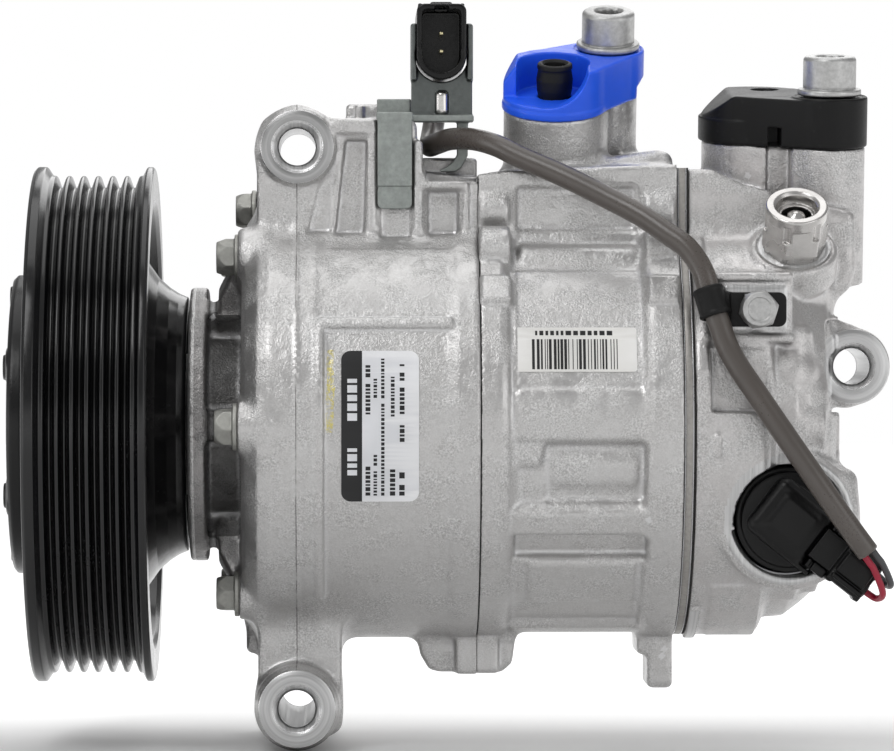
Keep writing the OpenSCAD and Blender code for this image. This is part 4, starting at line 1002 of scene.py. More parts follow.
prof = [(62.7, -15.4), (63.5, -14.6), (63.5, -12.6), (61.4, -11.2)]
for i in range(-3, 3):
    prof += groove(i)
prof += [(61.4, 11.1), (63.5, 12.2), (63.5, 13.5), (62.9, 14), (55.5, 14), (54.5, 13), (54, 9), (48, 9.5), (41, 11.5), (36, 15), (33.6, 17.8), (32.2, 20), (31.3, 22.2),
         (27.5, 22.2), (27.5, 0), (25, 0), (25, -6), (20, -6), (20, -13), (21, -14), (36, -14), (38, -12.5), (38.5, -2), (41, 2), (47, 4.5), (53.5, 4), (54.5, -1), (54.5, -12), (56.5, -15.4)]
pulley = lathe("pulley_shell", rnd(prof, 0.55, 4), [M_PAINT], 256)
cutters = []
for k in range(6):
    y, z = polar(33 + 60 * k + 180, 31)
    t = lathe("cutter", [(0.001, -16), (4.62, -16), (4.62, -8.5), (0.001, -8.5)], [M_PAINT], 40, (vec(0, y, z), (vec(0, 1, 0), vec(0, 0, 1), vec(1, 0, 0))))
    cutters.append(t)
for t in cutters:
    b = pulley.modifiers.new("pocket", "BOOLEAN")
    b.operation, b.solver, b.object = "DIFFERENCE", "EXACT", t
dg = bpy.context.evaluated_depsgraph_get()
me = bpy.data.meshes.new_from_object(pulley.evaluated_get(dg))
pulley.modifiers.clear()
pulley.data = me
for t in cutters:
    bpy.data.objects.remove(t)
done(pulley, "drive_line", "black_paint", "pulley")

c = Cast((-22, -37.2, -37.2), (-3, 37.2, 37.2), 0.32)
c.add(turned(rnd([(6.5, -14.6), (13, -14.6), (15.5, -20.2), (18, -20.6), (35.8, -20.6), (36.8, -19.7), (36.8, -16.9), (36.2, -16.6), (15, -16.6), (11, -13), (11, -3.5), (6.5, -3.5)], 0.3)), 0)
c.cut(turned([(20.5, -22), (21, -19.9), (26.4, -19.9), (26.9, -22)]), 0.5)
for k in range(6):
    y, z = polar(33 + 60 * k + 180, 31)
    c.add(cylx(4.6, -21.0, -17, 0.4, y, z), 0.7)
    c.cut(cylx(2.22, -24, -15, 0, y, z))
    y, z = polar(3 + 60 * k + 180, 25)
    c.cut(cylx(3.2, -24, -15, 0, y, z), 0.4)
for k in range(12):
    c.cut(rbox((-23, -0.9, 28.6), (-19.9, 0.9, 33.6), 0.4, radial(30 * k + 18)), 0.4)
done(c.mesh("hub_plate_shell", [M_HUB]), "drive_line", "black_paint", "hub_plate")


# ------------------------------------------------------------------ screws
def flange_head(name, fr, af, h, fl_r, fl_h, shank_r, shank_l, mat, turn=0, hs=0.2):
    """Hexagon head with a washer face; fr's third axis points out of the seat."""
    o = fr[0]
    m = fl_r + 0.6
    pts = [at(fr, p) for p in ((-m, -m, -shank_l), (m, m, fl_h + h + 0.3), (-m, m, -shank_l), (m, -m, fl_h + h + 0.3))]
    pts += [at(fr, p) for p in ((-m, -m, fl_h + h + 0.3), (m, m, -shank_l))]
    short = min(shank_l, 1.5)
    pts = [at(fr, (a, b, z)) for a in (-m, m) for b in (-m, m) for z in (-short, fl_h + h + 0.3)]
    c = Cast(np.min(pts, 0), np.max(pts, 0), hs)
    hexa = hexbar(fr, af, 0.2, fl_h + h, 0.12, turn)
    dome = bar(fr, (0, 0, 0), (0, 0, fl_h + h), af / math.sqrt(3) * 1.25, 0, af / 2 * 0.93)
    c.add(both(hexa, dome), 0)
    c.add(bar(fr, (0, 0, 0), (0, 0, fl_h), fl_r, 0.25), 0.35)
    c.cut(bar(fr, (0, 0, fl_h + h - 0.35), (0, 0, fl_h + h + 1), af / 2 * 0.66, 0.1), 0.3)
    head = c.mesh(name, [mat])
    sh = lathe(name + "_shank", [(0.001, -shank_l), (shank_r - 0.4, -shank_l), (shank_r, -shank_l + 0.5), (shank_r, 0.3), (0.001, 0.3)], [mat], 32, fr)
    sh.parent = head
    return head


XM = (vec(0, 1, 0), vec(0, 0, -1), vec(-1, 0, 0))
for n, a in enumerate(BOLTS):
    y, z = polar(a, 47)
    o = flange_head(f"through_bolt_{n + 1}", (vec(35.2, y, z), XM), 8, 4.4, 5.6, 1.2, 3, 111.0, M_ZINC_D, 17 * n)
    done(o, "root", "zinc", *(["through_bolts"] if n == 0 else []))
done(flange_head("through_bolt_7", (vec(38.6, *TOPB), XM), 8, 4.0, 5.2, 1.2, 3, 107.6, M_ZINC_D, 10), "root", "zinc")
done(flange_head("clip_screw", (vec(PAD[0], -49, PAD[1]), (vec(1, 0, 0), vec(0, 0, 1), vec(0, -1, 0))), 8.4, 3.8, 4.4, 0.7, 3, 14, M_ZINC, 12), "root", "zinc", "p_clip_bolt")


def socket_head(name, fr, h, d):
    pts = [at(fr, (a, b, z)) for a in (-8.2, 8.2) for b in (-8.2, 8.2) for z in (h - 0.5, h + 10)]
    c = Cast(np.min(pts, 0), np.max(pts, 0), 0.24)
    c.add(bar(fr, (0, 0, h), (0, 0, h + 1.6), 7.8, 0.45), 0)
    c.add(bar(fr, (0, 0, h + 1.2), (0, 0, h + 9.6), 6.5, 1.15), 0.3)
    c.cut(hexbar(fr, 6, h + 4.6, h + 12, 0.1, 15), 0.15)
    c.cut(bar(fr, (0, 0, h + 9.0), (0, 0, h + 9.7), 3.1, 0, 3.9))
    for k in range(6):
        c.cut(bar(fr, (2.9 * math.cos(k * 1.0472 + 0.785), 2.9 * math.sin(k * 1.0472 + 0.785), h + 5), (2.9 * math.cos(k * 1.0472 + 0.785), 2.9 * math.sin(k * 1.0472 + 0.785), h + 12), 0.5), 0.2)
    head = c.mesh(name, [M_ZINC])
    sh = lathe(name + "_shank", [(0.001, -d), (3.5, -d), (4.0, -d + 0.6), (4.0, h + 0.2), (0.001, h + 0.2)], [M_ZINC], 40, fr)
    sh.parent = head
    return head


done(socket_head("suction_screw", F_SB, 11.6, 14), "suction_plug", "zinc", "suction_bolt")
done(socket_head("discharge_screw", F_DB, 12.6, 14), "discharge_plug", "zinc", "discharge_bolt")

# ------------------------------------------------------------------ blue shipping cap and its stopper
c = Cast((97, -32, 68), (138, 20, 104), 0.28)
c.add(bar(F_S, (0, 0, 0), (0, 0, 11.6), 12.6, 0.6), 0)
c.add(bar(F_S, (*SB, 0), (*SB, 11.6), 9, 0.6), 0.4)
c.add(prism(bridge(12.4, SB, 8.8), 0, 11.6, 0.6, F_S), 0.4)
c.add(bar(F_S, (0, 0, -0.1), (0, 0, 1.8), 12.9, 0.4), 0.3)
# pocket round the stopper, open toward the front with a quarter-round end
c.cut(bar(F_S, (-0.4, 0, 3.1), (-0.4, 0, 16), 9.0, 0.5), 0.3)
c.cut(bar(F_S, (-2.2, -16, 13.3), (-2.2, -1.2, 13.3), 10.2, 0.5), 0.35)
c.cut(rbox((-17, -16, 3.1), (-2.2, -1.2, 18), 0.4, F_S), 0.3)
# the left end is bevelled
c.cut(prism([(-16, 6.4), (-12.9, 6.4), (-8.8, 11.9), (-8.8, 16), (-16, 16)], -20, 20, 0.3, F_S, "uw"), 0.5)
# step under the bolt end, and a shallow seat for the washer
c.cut(prism([(20.8, -1), (24.6, -1), (24.6, 4.4), (22.2, 4.4), (20.9, 3.0)], 3.5, 25, 0.3, F_S, "uw"), 0.5)
c.cut(bar(F_S, (*SB, 11.3), (*SB, 14), 8.3, 0.1), 0.15)
c.cut(bar(F_S, (0, 0, -1), (0, 0, 5), 4.1))
c.cut(bar(F_S, (*SB, -1), (*SB, 14), 4.2))
done(c.mesh("suction_cap_shell", [M_BLUE]), "suction_plug", "blue_plastic", "suction_cap")
done(lathe("suction_plug_rubber", rnd([(0.001, 0), (4, 0), (4, 3.2), (4.35, 4.8), (4.5, 7.4), (4.15, 9.5), (4.15, 9.9), (4.35, 10.3), (4.25, 11.2), (3.5, 11.5), (2.7, 10.9), (2.5, 6.4), (2.0, 6.0), (0.001, 6)], 0.3, 4), [M_RUBBER], 64, F_S), "suction_plug", "rubber", "suction_stopper")

# ------------------------------------------------------------------ black shipping cap
c = Cast((147, -26, 61), (191, 20, 90), 0.28)
c.add(bar(F_D, (0, 0, 0), (0, 0, 11.9), 13.4, 0.5), 0)
c.add(bar(F_D, (*DB, 0), (*DB, 12.4), 9.4, 0.6), 0.3)
c.add(prism(bridge(13.3, DB, 9.3), 0, 11.9, 0.5, F_D), 0.3)
c.cut(prism([(-17, 5.9), (-13.7, 5.9), (-5.8, 12.2), (-5.8, 16), (-17, 16)], -18, 18, 0.2, F_D, "uw"), 0.5)
c.add(both(bar(F_D, (0, 0, 0), (0, 0, 6.1), 13.9, 0.4), rbox((-17, -17, 0), (-1.4, 17, 6.4), 0.3, F_D)), 0.15)
c.cut(rbox((2.1, -19, -1), (5.2, -9.5, 4.8), 0.2, F_D), 0.15)
c.cut(bar(F_D, (3.0, 5.5, 11.1), (3.0, 5.5, 15), 3.4, 0.3), 0.3)
c.cut(bar(F_D, (*DB, 12.1), (*DB, 16), 8.4, 0.1), 0.15)
c.cut(bar(F_D, (*DB, -1), (*DB, 16), 4.2))
done(c.mesh("discharge_cap_shell", [M_CAP]), "discharge_plug", "black_plastic", "discharge_cap")

# ------------------------------------------------------------------ relief valve
pts = [at(RV, (a, b, z)) for a in (-8.6, 8.6) for b in (-8.6, 8.6) for z in (-8.3, 14.3)]
c = Cast(np.min(pts, 0), np.max(pts, 0), 0.24)
c.add(both(hexbar(RV, 14, 0, 11.2, 0.15, 8), bar(RV, (0, 0, -0.2), (0, 0, 11.6), 8.1, 0.4)), 0)
c.add(bar(RV, (0, 0, 10.6), (0, 0, 14), 7.5, 0.55), 0.3)
c.cut(torus(at(RV, (0, 0, 10.9)), RV[1][2], 8.6, 0.95), 0.3)
for k in range(6):
    a = math.radians(60 * k + 8)
    c.cut(bar(RV, (8.2 * math.cos(a), 8.2 * math.sin(a), 7.6), (8.2 * math.cos(a), 8.2 * math.sin(a), 12), 1.3), 0.3)
    c.cut(bar(RV, (8.3 * math.cos(a), 8.3 * math.sin(a), 0.6), (8.3 * math.cos(a), 8.3 * math.sin(a), 2.6), 1.0), 0.3)
c.add(bar(RV, (0, 0, -8), (0, 0, 0.2), 5, 0.5), 0.2)
c.cut(bar(RV, (0, 0, -9), (0, 0, 3), 2))
c.cut(bar(RV, (0, 0, -2), (0, 0, 12), 3.62))
c.cut(bar(RV, (0, 0, 11), (0, 0, 15), 4.8))
c.cut(bar(RV, (0, 0, 13.3), (0, 0, 14.1), 4.8, 0, 5.7))
done(c.mesh("relief_valve_body", [M_NICKEL]), "root", "bright_steel", "relief_valve")
pts = [at(RV, (a, b, z)) for a in (-5, 5) for b in (-5, 5) for z in (-2.2, 12.2)]
c = Cast(np.min(pts, 0), np.max(pts, 0), 0.2)
c.add(bar(RV, (0, 0, -1.98), (0, 0, 3.02), 3.5, 0.3), 0)
c.add(bar(RV, (0, 0, 2.5), (0, 0, 11.2), 2.3, 0.9), 0.3)
c.add(ball(at(RV, (0, 0, 10.4)), 1.5), 0.6)
done(c.mesh("relief_poppet_head", [M_NICKEL]), "poppet", "steel", "relief_poppet")

# ------------------------------------------------------------------ control valve end and its plug
e = math.radians(38)
F_E = (vec(ECV[0], 0, ECV[1]), (vec(math.cos(e), 0, -math.sin(e)), vec(math.sin(e), 0, math.cos(e)), vec(0, -1, 0)))
c = Cast((151, -53.6, -37), (181.5, -37.6, -6), 0.28)
c.add(bar(F_E, (0, 0, 38), (0, 0, 45.2), 12.7, 0.5), 0)
c.add(bar(F_E, (0, 0, 40), (0, 0, 46.2), 11.4, 0.5), 0.5)
c.cut(torus(at(F_E, (0, 0, 46.9)), vec(0, 1, 0), 10.2, 0.4), 0.2)
c.add(rbox((-8.0, -7.9, 45), (8.6, 7.9, 51.6), 2.6, F_E), 0.6)
c.add(rbox((-5.4, -5.6, 45), (6.4, 5.6, 52.2), 2.2, F_E), 0.8)
c.add(rbox((9, -6.4, 46), (14.4, 6.4, 51.8), 0.5, F_E), 0.3)
for v in (-7.9, 6.9):
    c.add(rbox((-3, v, 45), (11, v + 1.0, 50.4), 0.3, F_E), 0.3)
c.cut(rbox((9.9, -7.5, 50.4), (10.6, 7.5, 53), 0.1, F_E), 0.2)
c.cut(rbox((7.5, -4.3, 47.5), (16, 4.3, 53.6), 0.3, F_E), 0.2)
done(c.mesh("control_valve_end", [M_NYLON]), "root", "black_plastic", "control_valve_coil")
c = Cast((168, -56.2, -48), (190, -45.6, -20), 0.22)
c.add(rbox((14.6, -5.4, 46.2), (24, 5.4, 54), 0.7, F_E), 0)
c.add(rbox((8.2, -4.1, 47.8), (15.2, 4.1, 51.6), 0.4, F_E), 0.3)
c.add(rbox((15.2, -2.8, 53), (23.2, 2.8, 55.6), 0.6, F_E), 0.5)
c.add(rbox((14.6, -5.9, 46.6), (16.2, 5.9, 53.4), 0.4, F_E), 0.3)
c.add(rbox((22.6, -5.8, 46.4), (24.1, 5.8, 54.0), 0.4, F_E), 0.3)
for v in (-4.6, 3.4):
    c.add(rbox((15.2, v, 53.0), (24.0, v + 1.2, 55.0), 0.45, F_E), 0.25)
c.cut(rbox((17, -6, 49.4), (22, -5.0, 51.2), 0.2, F_E), 0.3)
for s in (-1, 1):
    c.add(bar(F_E, (23, 2.4 * s, 49.8), (24.6, 2.4 * s, 49.8), 1.9, 0.3), 0.2)
    c.cut(bar(F_E, (20, 2.4 * s, 49.8), (26, 2.4 * s, 49.8), 1.02))
done(c.mesh("valve_plug_shell", [M_NYLON]), "root", "black_plastic", "valve_plug")

# ------------------------------------------------------------------ lead and wires
ROUTE = [(184, -60, -29.5), (180.3, -60.2, -24.5), (175.1, -60, -17.2), (170.6, -59.2, -10.6), (166.1, -58, -4), (162, -56.6, 2.1), (158.1, -55.3, 8), (154.4, -53.6, 13.6), (151.4, -52, 19.2),
         (149.4, -50.9, 25), (147.8, -49.8, 29.6), (146, -48.7, 36.6), (142.4, -46.8, 42.4), (137.8, -44.6, 46), (131.2, -41, 50.7), (122.1, -36.5, 55.7), (112.6, -32.6, 60.6), (103.2, -28, 64.9),
         (97.4, -24.4, 67.9), (92, -19.6, 69.6), (86.8, -14, 69.9), (83.4, -8, 69.1), (82, -1, 68.8), (81.9, 6, 69.4), (82.4, 12.6, 71.8), (83.2, 17.8, 76.4), (84, 20.8, 82.4), (84.6, 21.8, 88.2),
         (84.6, 21.2, 93), (84.6, 19, 94.6), (84.6, 16, 94.6)]
line = smoothline(ROUTE, 6)
done(tube("lead_tube", line, 2.7, [M_SHEATH], 40), "root", "sheath", "lead")
o3 = vec(ECV[0], -49.8, ECV[1])
u3, w3 = F_E[1][0], -F_E[1][1]
t3 = unit(vec(*ROUTE[0]) - vec(*ROUTE[1]))
v3 = unit(w3 - t3 * (w3 @ t3))
for s, name, mat in ((1, "wire_red", M_RED), (-1, "wire_dark", M_DARKWIRE)):
    P = [o3 + 20.2 * u3 + 2.4 * s * w3, o3 + 25 * u3 + 2.4 * s * w3, o3 + 27.6 * u3 + vec(0, -1.4, 0) + 2 * s * w3, vec(188.9, -55.6, -38) + 1.5 * s * w3,
         vec(*ROUTE[0]) + 4.4 * t3 + vec(0, 1, 0) + 1.2 * s * v3, vec(*ROUTE[0]) + 2 * t3 + 1.15 * s * v3, vec(*ROUTE[0]) - 1.5 * t3 + 1.15 * s * v3]
    done(tube(name, smoothline(P, 8), 0.82, [mat], 16), "root", "wire", *(["lead_wires"] if s == 1 else []))

# ------------------------------------------------------------------ clip that holds the lead
cc = vec(*ROUTE[10])
dd = unit(vec(*ROUTE[11]) - vec(*ROUTE[9]))
c = Cast((143, -54.5, 22.5), (166.5, -44.5, 35), 0.22)
c.add(cyl(cc - dd * 3.6, cc + dd * 3.6, 3.6, 0.5), 0)
for q in (-3.0, 3.0):
    c.add(torus(cc + dd * q, dd, 3.3, 0.5), 0.3)
c.add(prism(rnd([(148.5, 23.8), (165.8, 23.8), (165.8, 32.0), (148.5, 32.0)], 1.8), -49, -47.6, 0.3, WORLD, "uw"), 0.5)
c.add(rbox((148.2, -50.2, 25.2), (152.2, -47.7, 32.0), 0.6), 1.0)
c.cut(cyl(cc - dd * 6, cc + dd * 6, 2.8), 0.2)
c.cut(cyly(3.1, PAD[0], PAD[1], -60, -40))
done(c.mesh("p_clip_rubber", [M_RUBBER]), "root", "rubber", "p_clip")

# ------------------------------------------------------------------ top connector with its bracket and strap
c = Cast((76.6, -13, 62.8), (92.6, -1.4, 98.8), 0.2)
c.add(prism(rnd([(77, 74.6), (92, 74.6), (92, 98.4), (77, 98.4)], 0.8), -10, -8.5, 0.3, WORLD, "uw"), 0)
c.add(prism(rnd([(76.8, 74.2), (92.3, 74.2), (92.3, 75.9), (76.8, 75.9)], 0.4), -12.6, -8.5, 0.3, WORLD, "uw"), 0.7)
c.add(rbox((77, -12.6, 84.4), (78.3, -2, 98.2), 0.4), 0.8)
c.add(rbox((90.7, -12.6, 84.4), (92, -2, 98.2), 0.4), 0.8)
c.add(cyl((84.5, -10.1, 75.9), (84.5, -10.1, 81.9), 1.7, 1.2), 0.25)
c.add(prism(rnd([(88.2, 75), (88.2, 66.2), (87.1, 64.4), (85.6, 63.2), (83.9, 62.4), (84.6, 60.6), (87, 61.4), (89.3, 63.1), (90.9, 66), (91, 75)], 0.5), -9.9, -8.6, 0.3, WORLD, "uw"), 0.5)
c.cut(cyly(6.5, 84.4, 90.6, -20, -6, 0), 0.2)
c.cut(rbox((78.3, -20, 90.6), (90.5, -5.2, 104), 0.3), 0.2)
# the bead's brighter, glossier nickel colour, in place of the sheet's, is a painted highlight along it
done(c.mesh("connector_bracket_sheet", [M_SHEET, M_STRAP, M_NICKEL], lambda C, N: np.where(C[:, 2] < 76.1, 1, np.where((np.abs(C[:, 0] - 84.5) < 1.3) & (C[:, 1] < -10.6) & (C[:, 2] < 82), 2, 0))), "root", "zinc_sheet", "connector_bracket")

c = Cast((68, -28.2, 52), (77.4, -6.6, 80.4), 0.2)
c.add(prism(rnd([(68.6, 57.6), (77, 57.6), (77, 75.6), (68.6, 75.6)], 0.3), -27.7, -26.2, 0.3, WORLD, "uw"), 0)
c.add(prism(rnd([(68.6, 52.4), (77, 52.4), (77, 58.2), (68.6, 58.2)], 1.4), -27.35, -26.2, 0.3, WORLD, "uw"), 0.3)
c.cut(rbox((68, -29, 57.3), (78, -27.3, 57.9), 0.1), 0.2)
c.add(rbox((68.6, -27.6, 74.2), (77, -7, 75.6), 0.3), 1.0)
c.add(rbox((68.6, -8.4, 74.2), (77, -7, 80), 0.3), 0.6)
c.add(rbox((69.0, -27.9, 71.0), (76.6, -26.4, 73.0), 0.6), 0.4)
done(c.mesh("strap_sheet", [M_STRAP]), "root", "zinc_sheet", "bracket_clip")

c = Cast((77.6, -14.6, 83.9), (91.2, 16.4, 104.2), 0.2)
c.add(cyly(6.1, 84.4, 90.6, -14, 14, 0.5), 0)
c.add(prism(rnd([(78.3, 90.6), (90.5, 90.6), (90.5, 103.1), (78.3, 103.1)], 1.9), -14, 13.6, 0.5, WORLD, "uw"), 0.2)
c.add(rbox((78.35, -13.6, 90), (90.45, 13.8, 92.4), 0.3), 0.2)
c.add(rbox((81.6, -9, 101), (87.2, 8, 103.9), 0.7), 0.4)
for s in (-1, 1):
    c.add(rbox((84.4 + 5.2 * s - 0.5, -9, 102.0), (84.4 + 5.2 * s + 0.5, 12, 103.5), 0.3), 0.3)
c.add(cyly(3.9, 84.6, 94.6, 12, 16, 0.5), 0.5)
for y in (7.5, 9.5, 11.2):
    c.cut(torus(vec(84.4, y, 92.4), vec(0, 1, 0), 7.4, 0.5), 0.2)
c.cut(cyly(4.8, 84.4, 91.0, -17, -2, 0.3))
c.cut(prism(rnd([(79.6, 91.0), (89.2, 91.0), (89.2, 101.7), (79.6, 101.7)], 1.2), -17, -2, 0.2, WORLD, "uw"))
c.cut(rbox((82.6, -17, 101.0), (86.2, -4, 102.5), 0.3))
for s in (-1, 1):
    c.cut(rbox((84.4 + 4.4 * s - 0.5, -17, 92), (84.4 + 4.4 * s + 0.5, -4, 93.4), 0.2))
done(c.mesh("connector_shell", [M_NYLON_G]), "root", "black_plastic", "lead_connector")
for s, z in ((0, 91.6), (1, 96.0)):
    c = Cast((83.6, -11.4, z - 0.6), (85.2, -1.6, z + 0.6), 0.1)
    c.add(rbox((83.95, -11, z - 0.35), (84.85, -2, z + 0.35), 0.15), 0)
    done(c.mesh(f"terminal_{s + 1}", [M_GOLD]), "root", "black_plastic")

# ------------------------------------------------------------------ machined faces of the lugs
def lug_face(name, x, z, y, s, r_out, r_ch, mat):
    """Turned ring on the end of a lug at y; s is -1 for the end that faces -Y, 1 for the other."""
    fr = (vec(x, 0, z), (vec(1, 0, 0), vec(0, 0, 1), vec(0, s, 0)))
    w = abs(y) if s * y > 0 else -abs(y)
    pr = [(4.46, w - 2.6), (4.46, w - 1.5), (r_ch - 0.85, w - 1.15), (r_ch - 0.8, w - 0.85), (r_ch, w - 0.02), (r_ch + 0.12, w + 0.05), (r_out - 0.15, w + 0.05), (r_out, w - 0.1), (r_out, w - 1.4), (r_out - 1, w - 2.6)]
    def pick(C, N):
        q = np.hypot(C[:, 0] - x, C[:, 2] - z)
        return np.where((q < r_ch) | (np.abs(N[:, 1]) < 0.9), 1, 0)
    return lathe(name, pr, [mat, M_BRIGHT], 128, fr, pick)


for name, x, z, y, s, ro, rc, mat in (("upper_lug_near", LUG_X, UP_Z, -28, -1, 8.9, 6.2, M_CUT_UP), ("upper_lug_far", LUG_X, UP_Z, 6, 1, 8.9, 5.6, M_CUT_UP),
                                      ("lower_lug_near", LUG_X, LOW_Z, -37, -1, 9.3, 5.9, M_CUT_LOW), ("lower_lug_far", LUG_X, LOW_Z, 37, 1, 9.3, 5.9, M_CUT_LOW),
                                      ("rear_lug_near", REAR_LUG[0], REAR_LUG[1], -14, -1, 9.2, 5.7, M_CUT_REAR), ("rear_lug_far", REAR_LUG[0], REAR_LUG[1], 20, 1, 9.2, 5.7, M_CUT_REAR)):
    done(lug_face(name, x, z, y, s, ro, rc, mat), "root", "cast_aluminium")

# ------------------------------------------------------------------ seal line
def sheetx(name, outline, x0, x1, mat):
    """Flat sheet across the shaft: outline of (y, z)."""
    n = len(outline)
    V = [(x0, y, z) for y, z in outline] + [(x1, y, z) for y, z in outline]
    o = build(name, V, [np.array([(i, (i + 1) % n, n + (i + 1) % n, n + i) for i in range(n)])], [mat], None, smooth=False)
    bm = bmesh.new()
    bm.from_mesh(o.data)
    bm.verts.ensure_lookup_table()
    bm.faces.new([bm.verts[i] for i in range(n)])
    bm.faces.new([bm.verts[n + i] for i in range(n)][::-1])
    bmesh.ops.recalc_face_normals(bm, faces=bm.faces)
    bm.to_mesh(o.data)
    bm.free()
    return o


done(lathe("seam_seal", [(50.8, 92.3), (52.3, 92.3), (52.3, 92.86), (53.02, 92.86), (53.02, 93.14), (52.3, 93.14), (52.3, 93.7), (50.8, 93.7)], [M_RUBBER], 256), "root", "rubber", "housing_seal")
done(sheetx("seam_edge_top", rnd([(-26.0, 46.2), (-26.0, 60.4), (24.0, 60.4), (24.0, 48)], 1.0), 92.87, 93.13, M_RUBBER), "root", "rubber")
done(sheetx("seam_edge_low", rnd([(-11.7, -52.2), (-11.7, -60.6), (9.1, -60.6), (9.1, -52.6)], 0.8), 92.87, 93.13, M_RUBBER), "root", "rubber")


# ------------------------------------------------------------------ printed labels, with plain marks only
def marks(seed, x0, x1, z0, z1, cell, gap, fill):
    """Random plain rectangles along z, like a blanked-out line of print."""
    rs = np.random.RandomState(seed)
    out, z = [], z0
    while z < z1 - cell * 0.5:
        l = cell * (0.55 + 0.9 * rs.rand())
        if rs.rand() < fill:
            out.append((x0, x1, z, min(z + l, z1)))
        z += l + gap
    return out


def label(name, r, x0, x1, z0, z1, corner, base, boxes, body="root"):
    """Thin sheet with rounded corners on the barrel of radius r. boxes are (x0, x1, z0, z1, material number)."""
    outline = [tuple(p[:2]) for p in rnd([(x0, z0), (x1, z0), (x1, z1), (x0, z1)], corner, 8)]
    pts, edges, faces = list(outline), [], [list(range(len(outline)))]
    for k in range(len(outline)):
        edges.append((k, (k + 1) % len(outline)))
    for a, b_, lo, hi, m_ in boxes:
        a, b_, lo, hi = max(a, x0 + 0.01), min(b_, x1 - 0.01), max(lo, z0 + 0.01), min(hi, z1 - 0.01)
        k = len(pts)
        pts += [(a, lo), (b_, lo), (b_, hi), (a, hi)]
        edges += [(k, k + 1), (k + 1, k + 2), (k + 2, k + 3), (k + 3, k)]
    for z in np.arange(z0 + 1.0, z1 - 0.4, 1.0):
        k = len(pts)
        pts += [(x0 + 0.02, float(z)), (x1 - 0.02, float(z))]
        edges.append((k, k + 1))
    res = delaunay_2d_cdt([Vector(p) for p in pts], edges, faces, 1, 1e-5)
    P, T = np.array([tuple(v) for v in res[0]]), [f for f, o in zip(res[2], res[5]) if len(f) == 3 and len(o)]
    mid = np.array([P[list(f)].mean(0) for f in T])
    M = np.zeros(len(T), int)
    for a, b_, lo, hi, m_ in boxes:
        M[(mid[:, 0] > a) & (mid[:, 0] < b_) & (mid[:, 1] > lo) & (mid[:, 1] < hi)] = m_
    n = len(P)
    V = []
    for lay in (0.0, 0.16):
        for x, z in P:
            V.append((x, -(r + lay) * math.cos(z / r), (r + lay) * math.sin(z / r)))
    top = [(f[0] + n, f[1] + n, f[2] + n) for f in T]
    low = [(f[2], f[1], f[0]) for f in T]
    count = {}
    for f in T:
        for i in range(3):
            e_ = (f[i], f[(i + 1) % 3])
            count[tuple(sorted(e_))] = count.get(tuple(sorted(e_)), []) + [e_]
    rim = [v[0] for v in count.values() if len(v) == 1]
    side = [(b_, a, a + n, b_ + n) for a, b_ in rim]
    idx = np.concatenate([M, np.zeros(len(low), int), np.zeros(len(side), int)])
    o = build(name, V, [np.array(top), np.array(low), np.array(side)], base, lambda C, N: idx, smooth=False)
    bm = bmesh.new()
    bm.from_mesh(o.data)
    bmesh.ops.recalc_face_normals(bm, faces=bm.faces)
    bm.to_mesh(o.data)
    bm.free()
    return o


bx = [(59.85, 64.8, -19, 19, 1)]
for n, (a, b, lo, hi, cell, fill) in enumerate([(61.3, 63.6, -11.5, -4.5, 1.25, 1), (61.3, 63.6, 1.5, 12, 1.25, 1)]):
    bx += [(*q, 2) for q in marks(3 + n, a, b, lo, hi, cell, 0.55, fill)]
for n, (a, w, lo, hi, cell) in enumerate([(65.6, 1.15, -16.5, -9, 0.75), (65.6, 1.15, 3, 15.5, 0.8), (67.5, 0.85, -16.5, -6, 0.6), (67.5, 0.85, 6, 11.5, 0.6), (69.3, 0.8, -16.5, 16.5, 0.55),
                                          (71.4, 1.25, -16.5, -9.5, 0.8), (71.6, 0.9, 2.5, 12, 0.6), (73.6, 1.3, -16.5, -10.5, 1.1), (73.7, 1.15, -3.5, 15.5, 0.8)]):
    bx += [(*q, 1) for q in marks(20 + n, a, a + w, lo, hi, cell, 0.3, 0.93)]
done(label("rating_label", 52.74, 59.85, 78.3, -18.0, 18.4, 2.3, [M_PAPER, M_INK, M_PAPER], [(*b[:4], b[4]) for b in bx]), "root", "label", "labels")
rs = np.random.RandomState(5)
bx, x = [], 105.2
while x < 125.6:
    w = rs.choice([0.22, 0.22, 0.44, 0.66])
    bx.append((x, x + w, 13.8, 21.4, 1))
    x += w + rs.choice([0.24, 0.3, 0.5, 0.8])
for q in marks(9, 22.4, 23.6, 106, 124.5, 0.95, 0.5, 0.95):
    bx.append((q[2], q[3], q[0], q[1], 1))
done(label("stock_label", 51.2, 101.3, 130.2, 13.2, 24.5, 0.8, [M_PAPER2, M_INK], bx), "root", "label")

# ------------------------------------------------------------------ what stays as CAD, with its finish
for name, mat, w in (("rubber_dampers", M_RUBBER, 0.3), ("drive_pins", M_HUB, 0.6), ("shaft_nut", M_ZINC, 0.4), ("bearing_outer_ring", M_STEEL, 0.2), ("bearing_inner_ring", M_STEEL, 0.2),
                     ("nose_circlip", M_DARKSTEEL, 0.15), ("front_shaft_bush", M_BRONZE, 0.15), ("rear_shaft_bush", M_BRONZE, 0.15), ("thrust_race", M_STEEL, 0.1), ("drive_shaft", M_STEEL, 0.25),
                     ("lug_plate", M_DARKSTEEL, 0.4), ("destroke_spring", M_STEEL, 0), ("swash_sleeve", M_DARKSTEEL, 0.3), ("swash_plate", M_DARKSTEEL, 0.35), ("valve_gaskets", M_GASKET, 0), ("suction_reed", M_STEEL, 0),
                     ("valve_plate", M_PLATE, 0.1), ("discharge_reed", M_STEEL, 0), ("control_valve_body", M_BRASS, 0.2), ("control_valve_plunger", M_STEEL, 0.2), ("control_valve_ring", M_DARKSTEEL, 0.1)):
    carry(name, mat, w)
carry("bearing_balls", [M_STEEL, M_BRONZE], 0)
carry("thrust_rollers", [M_STEEL, M_BRONZE], 0)
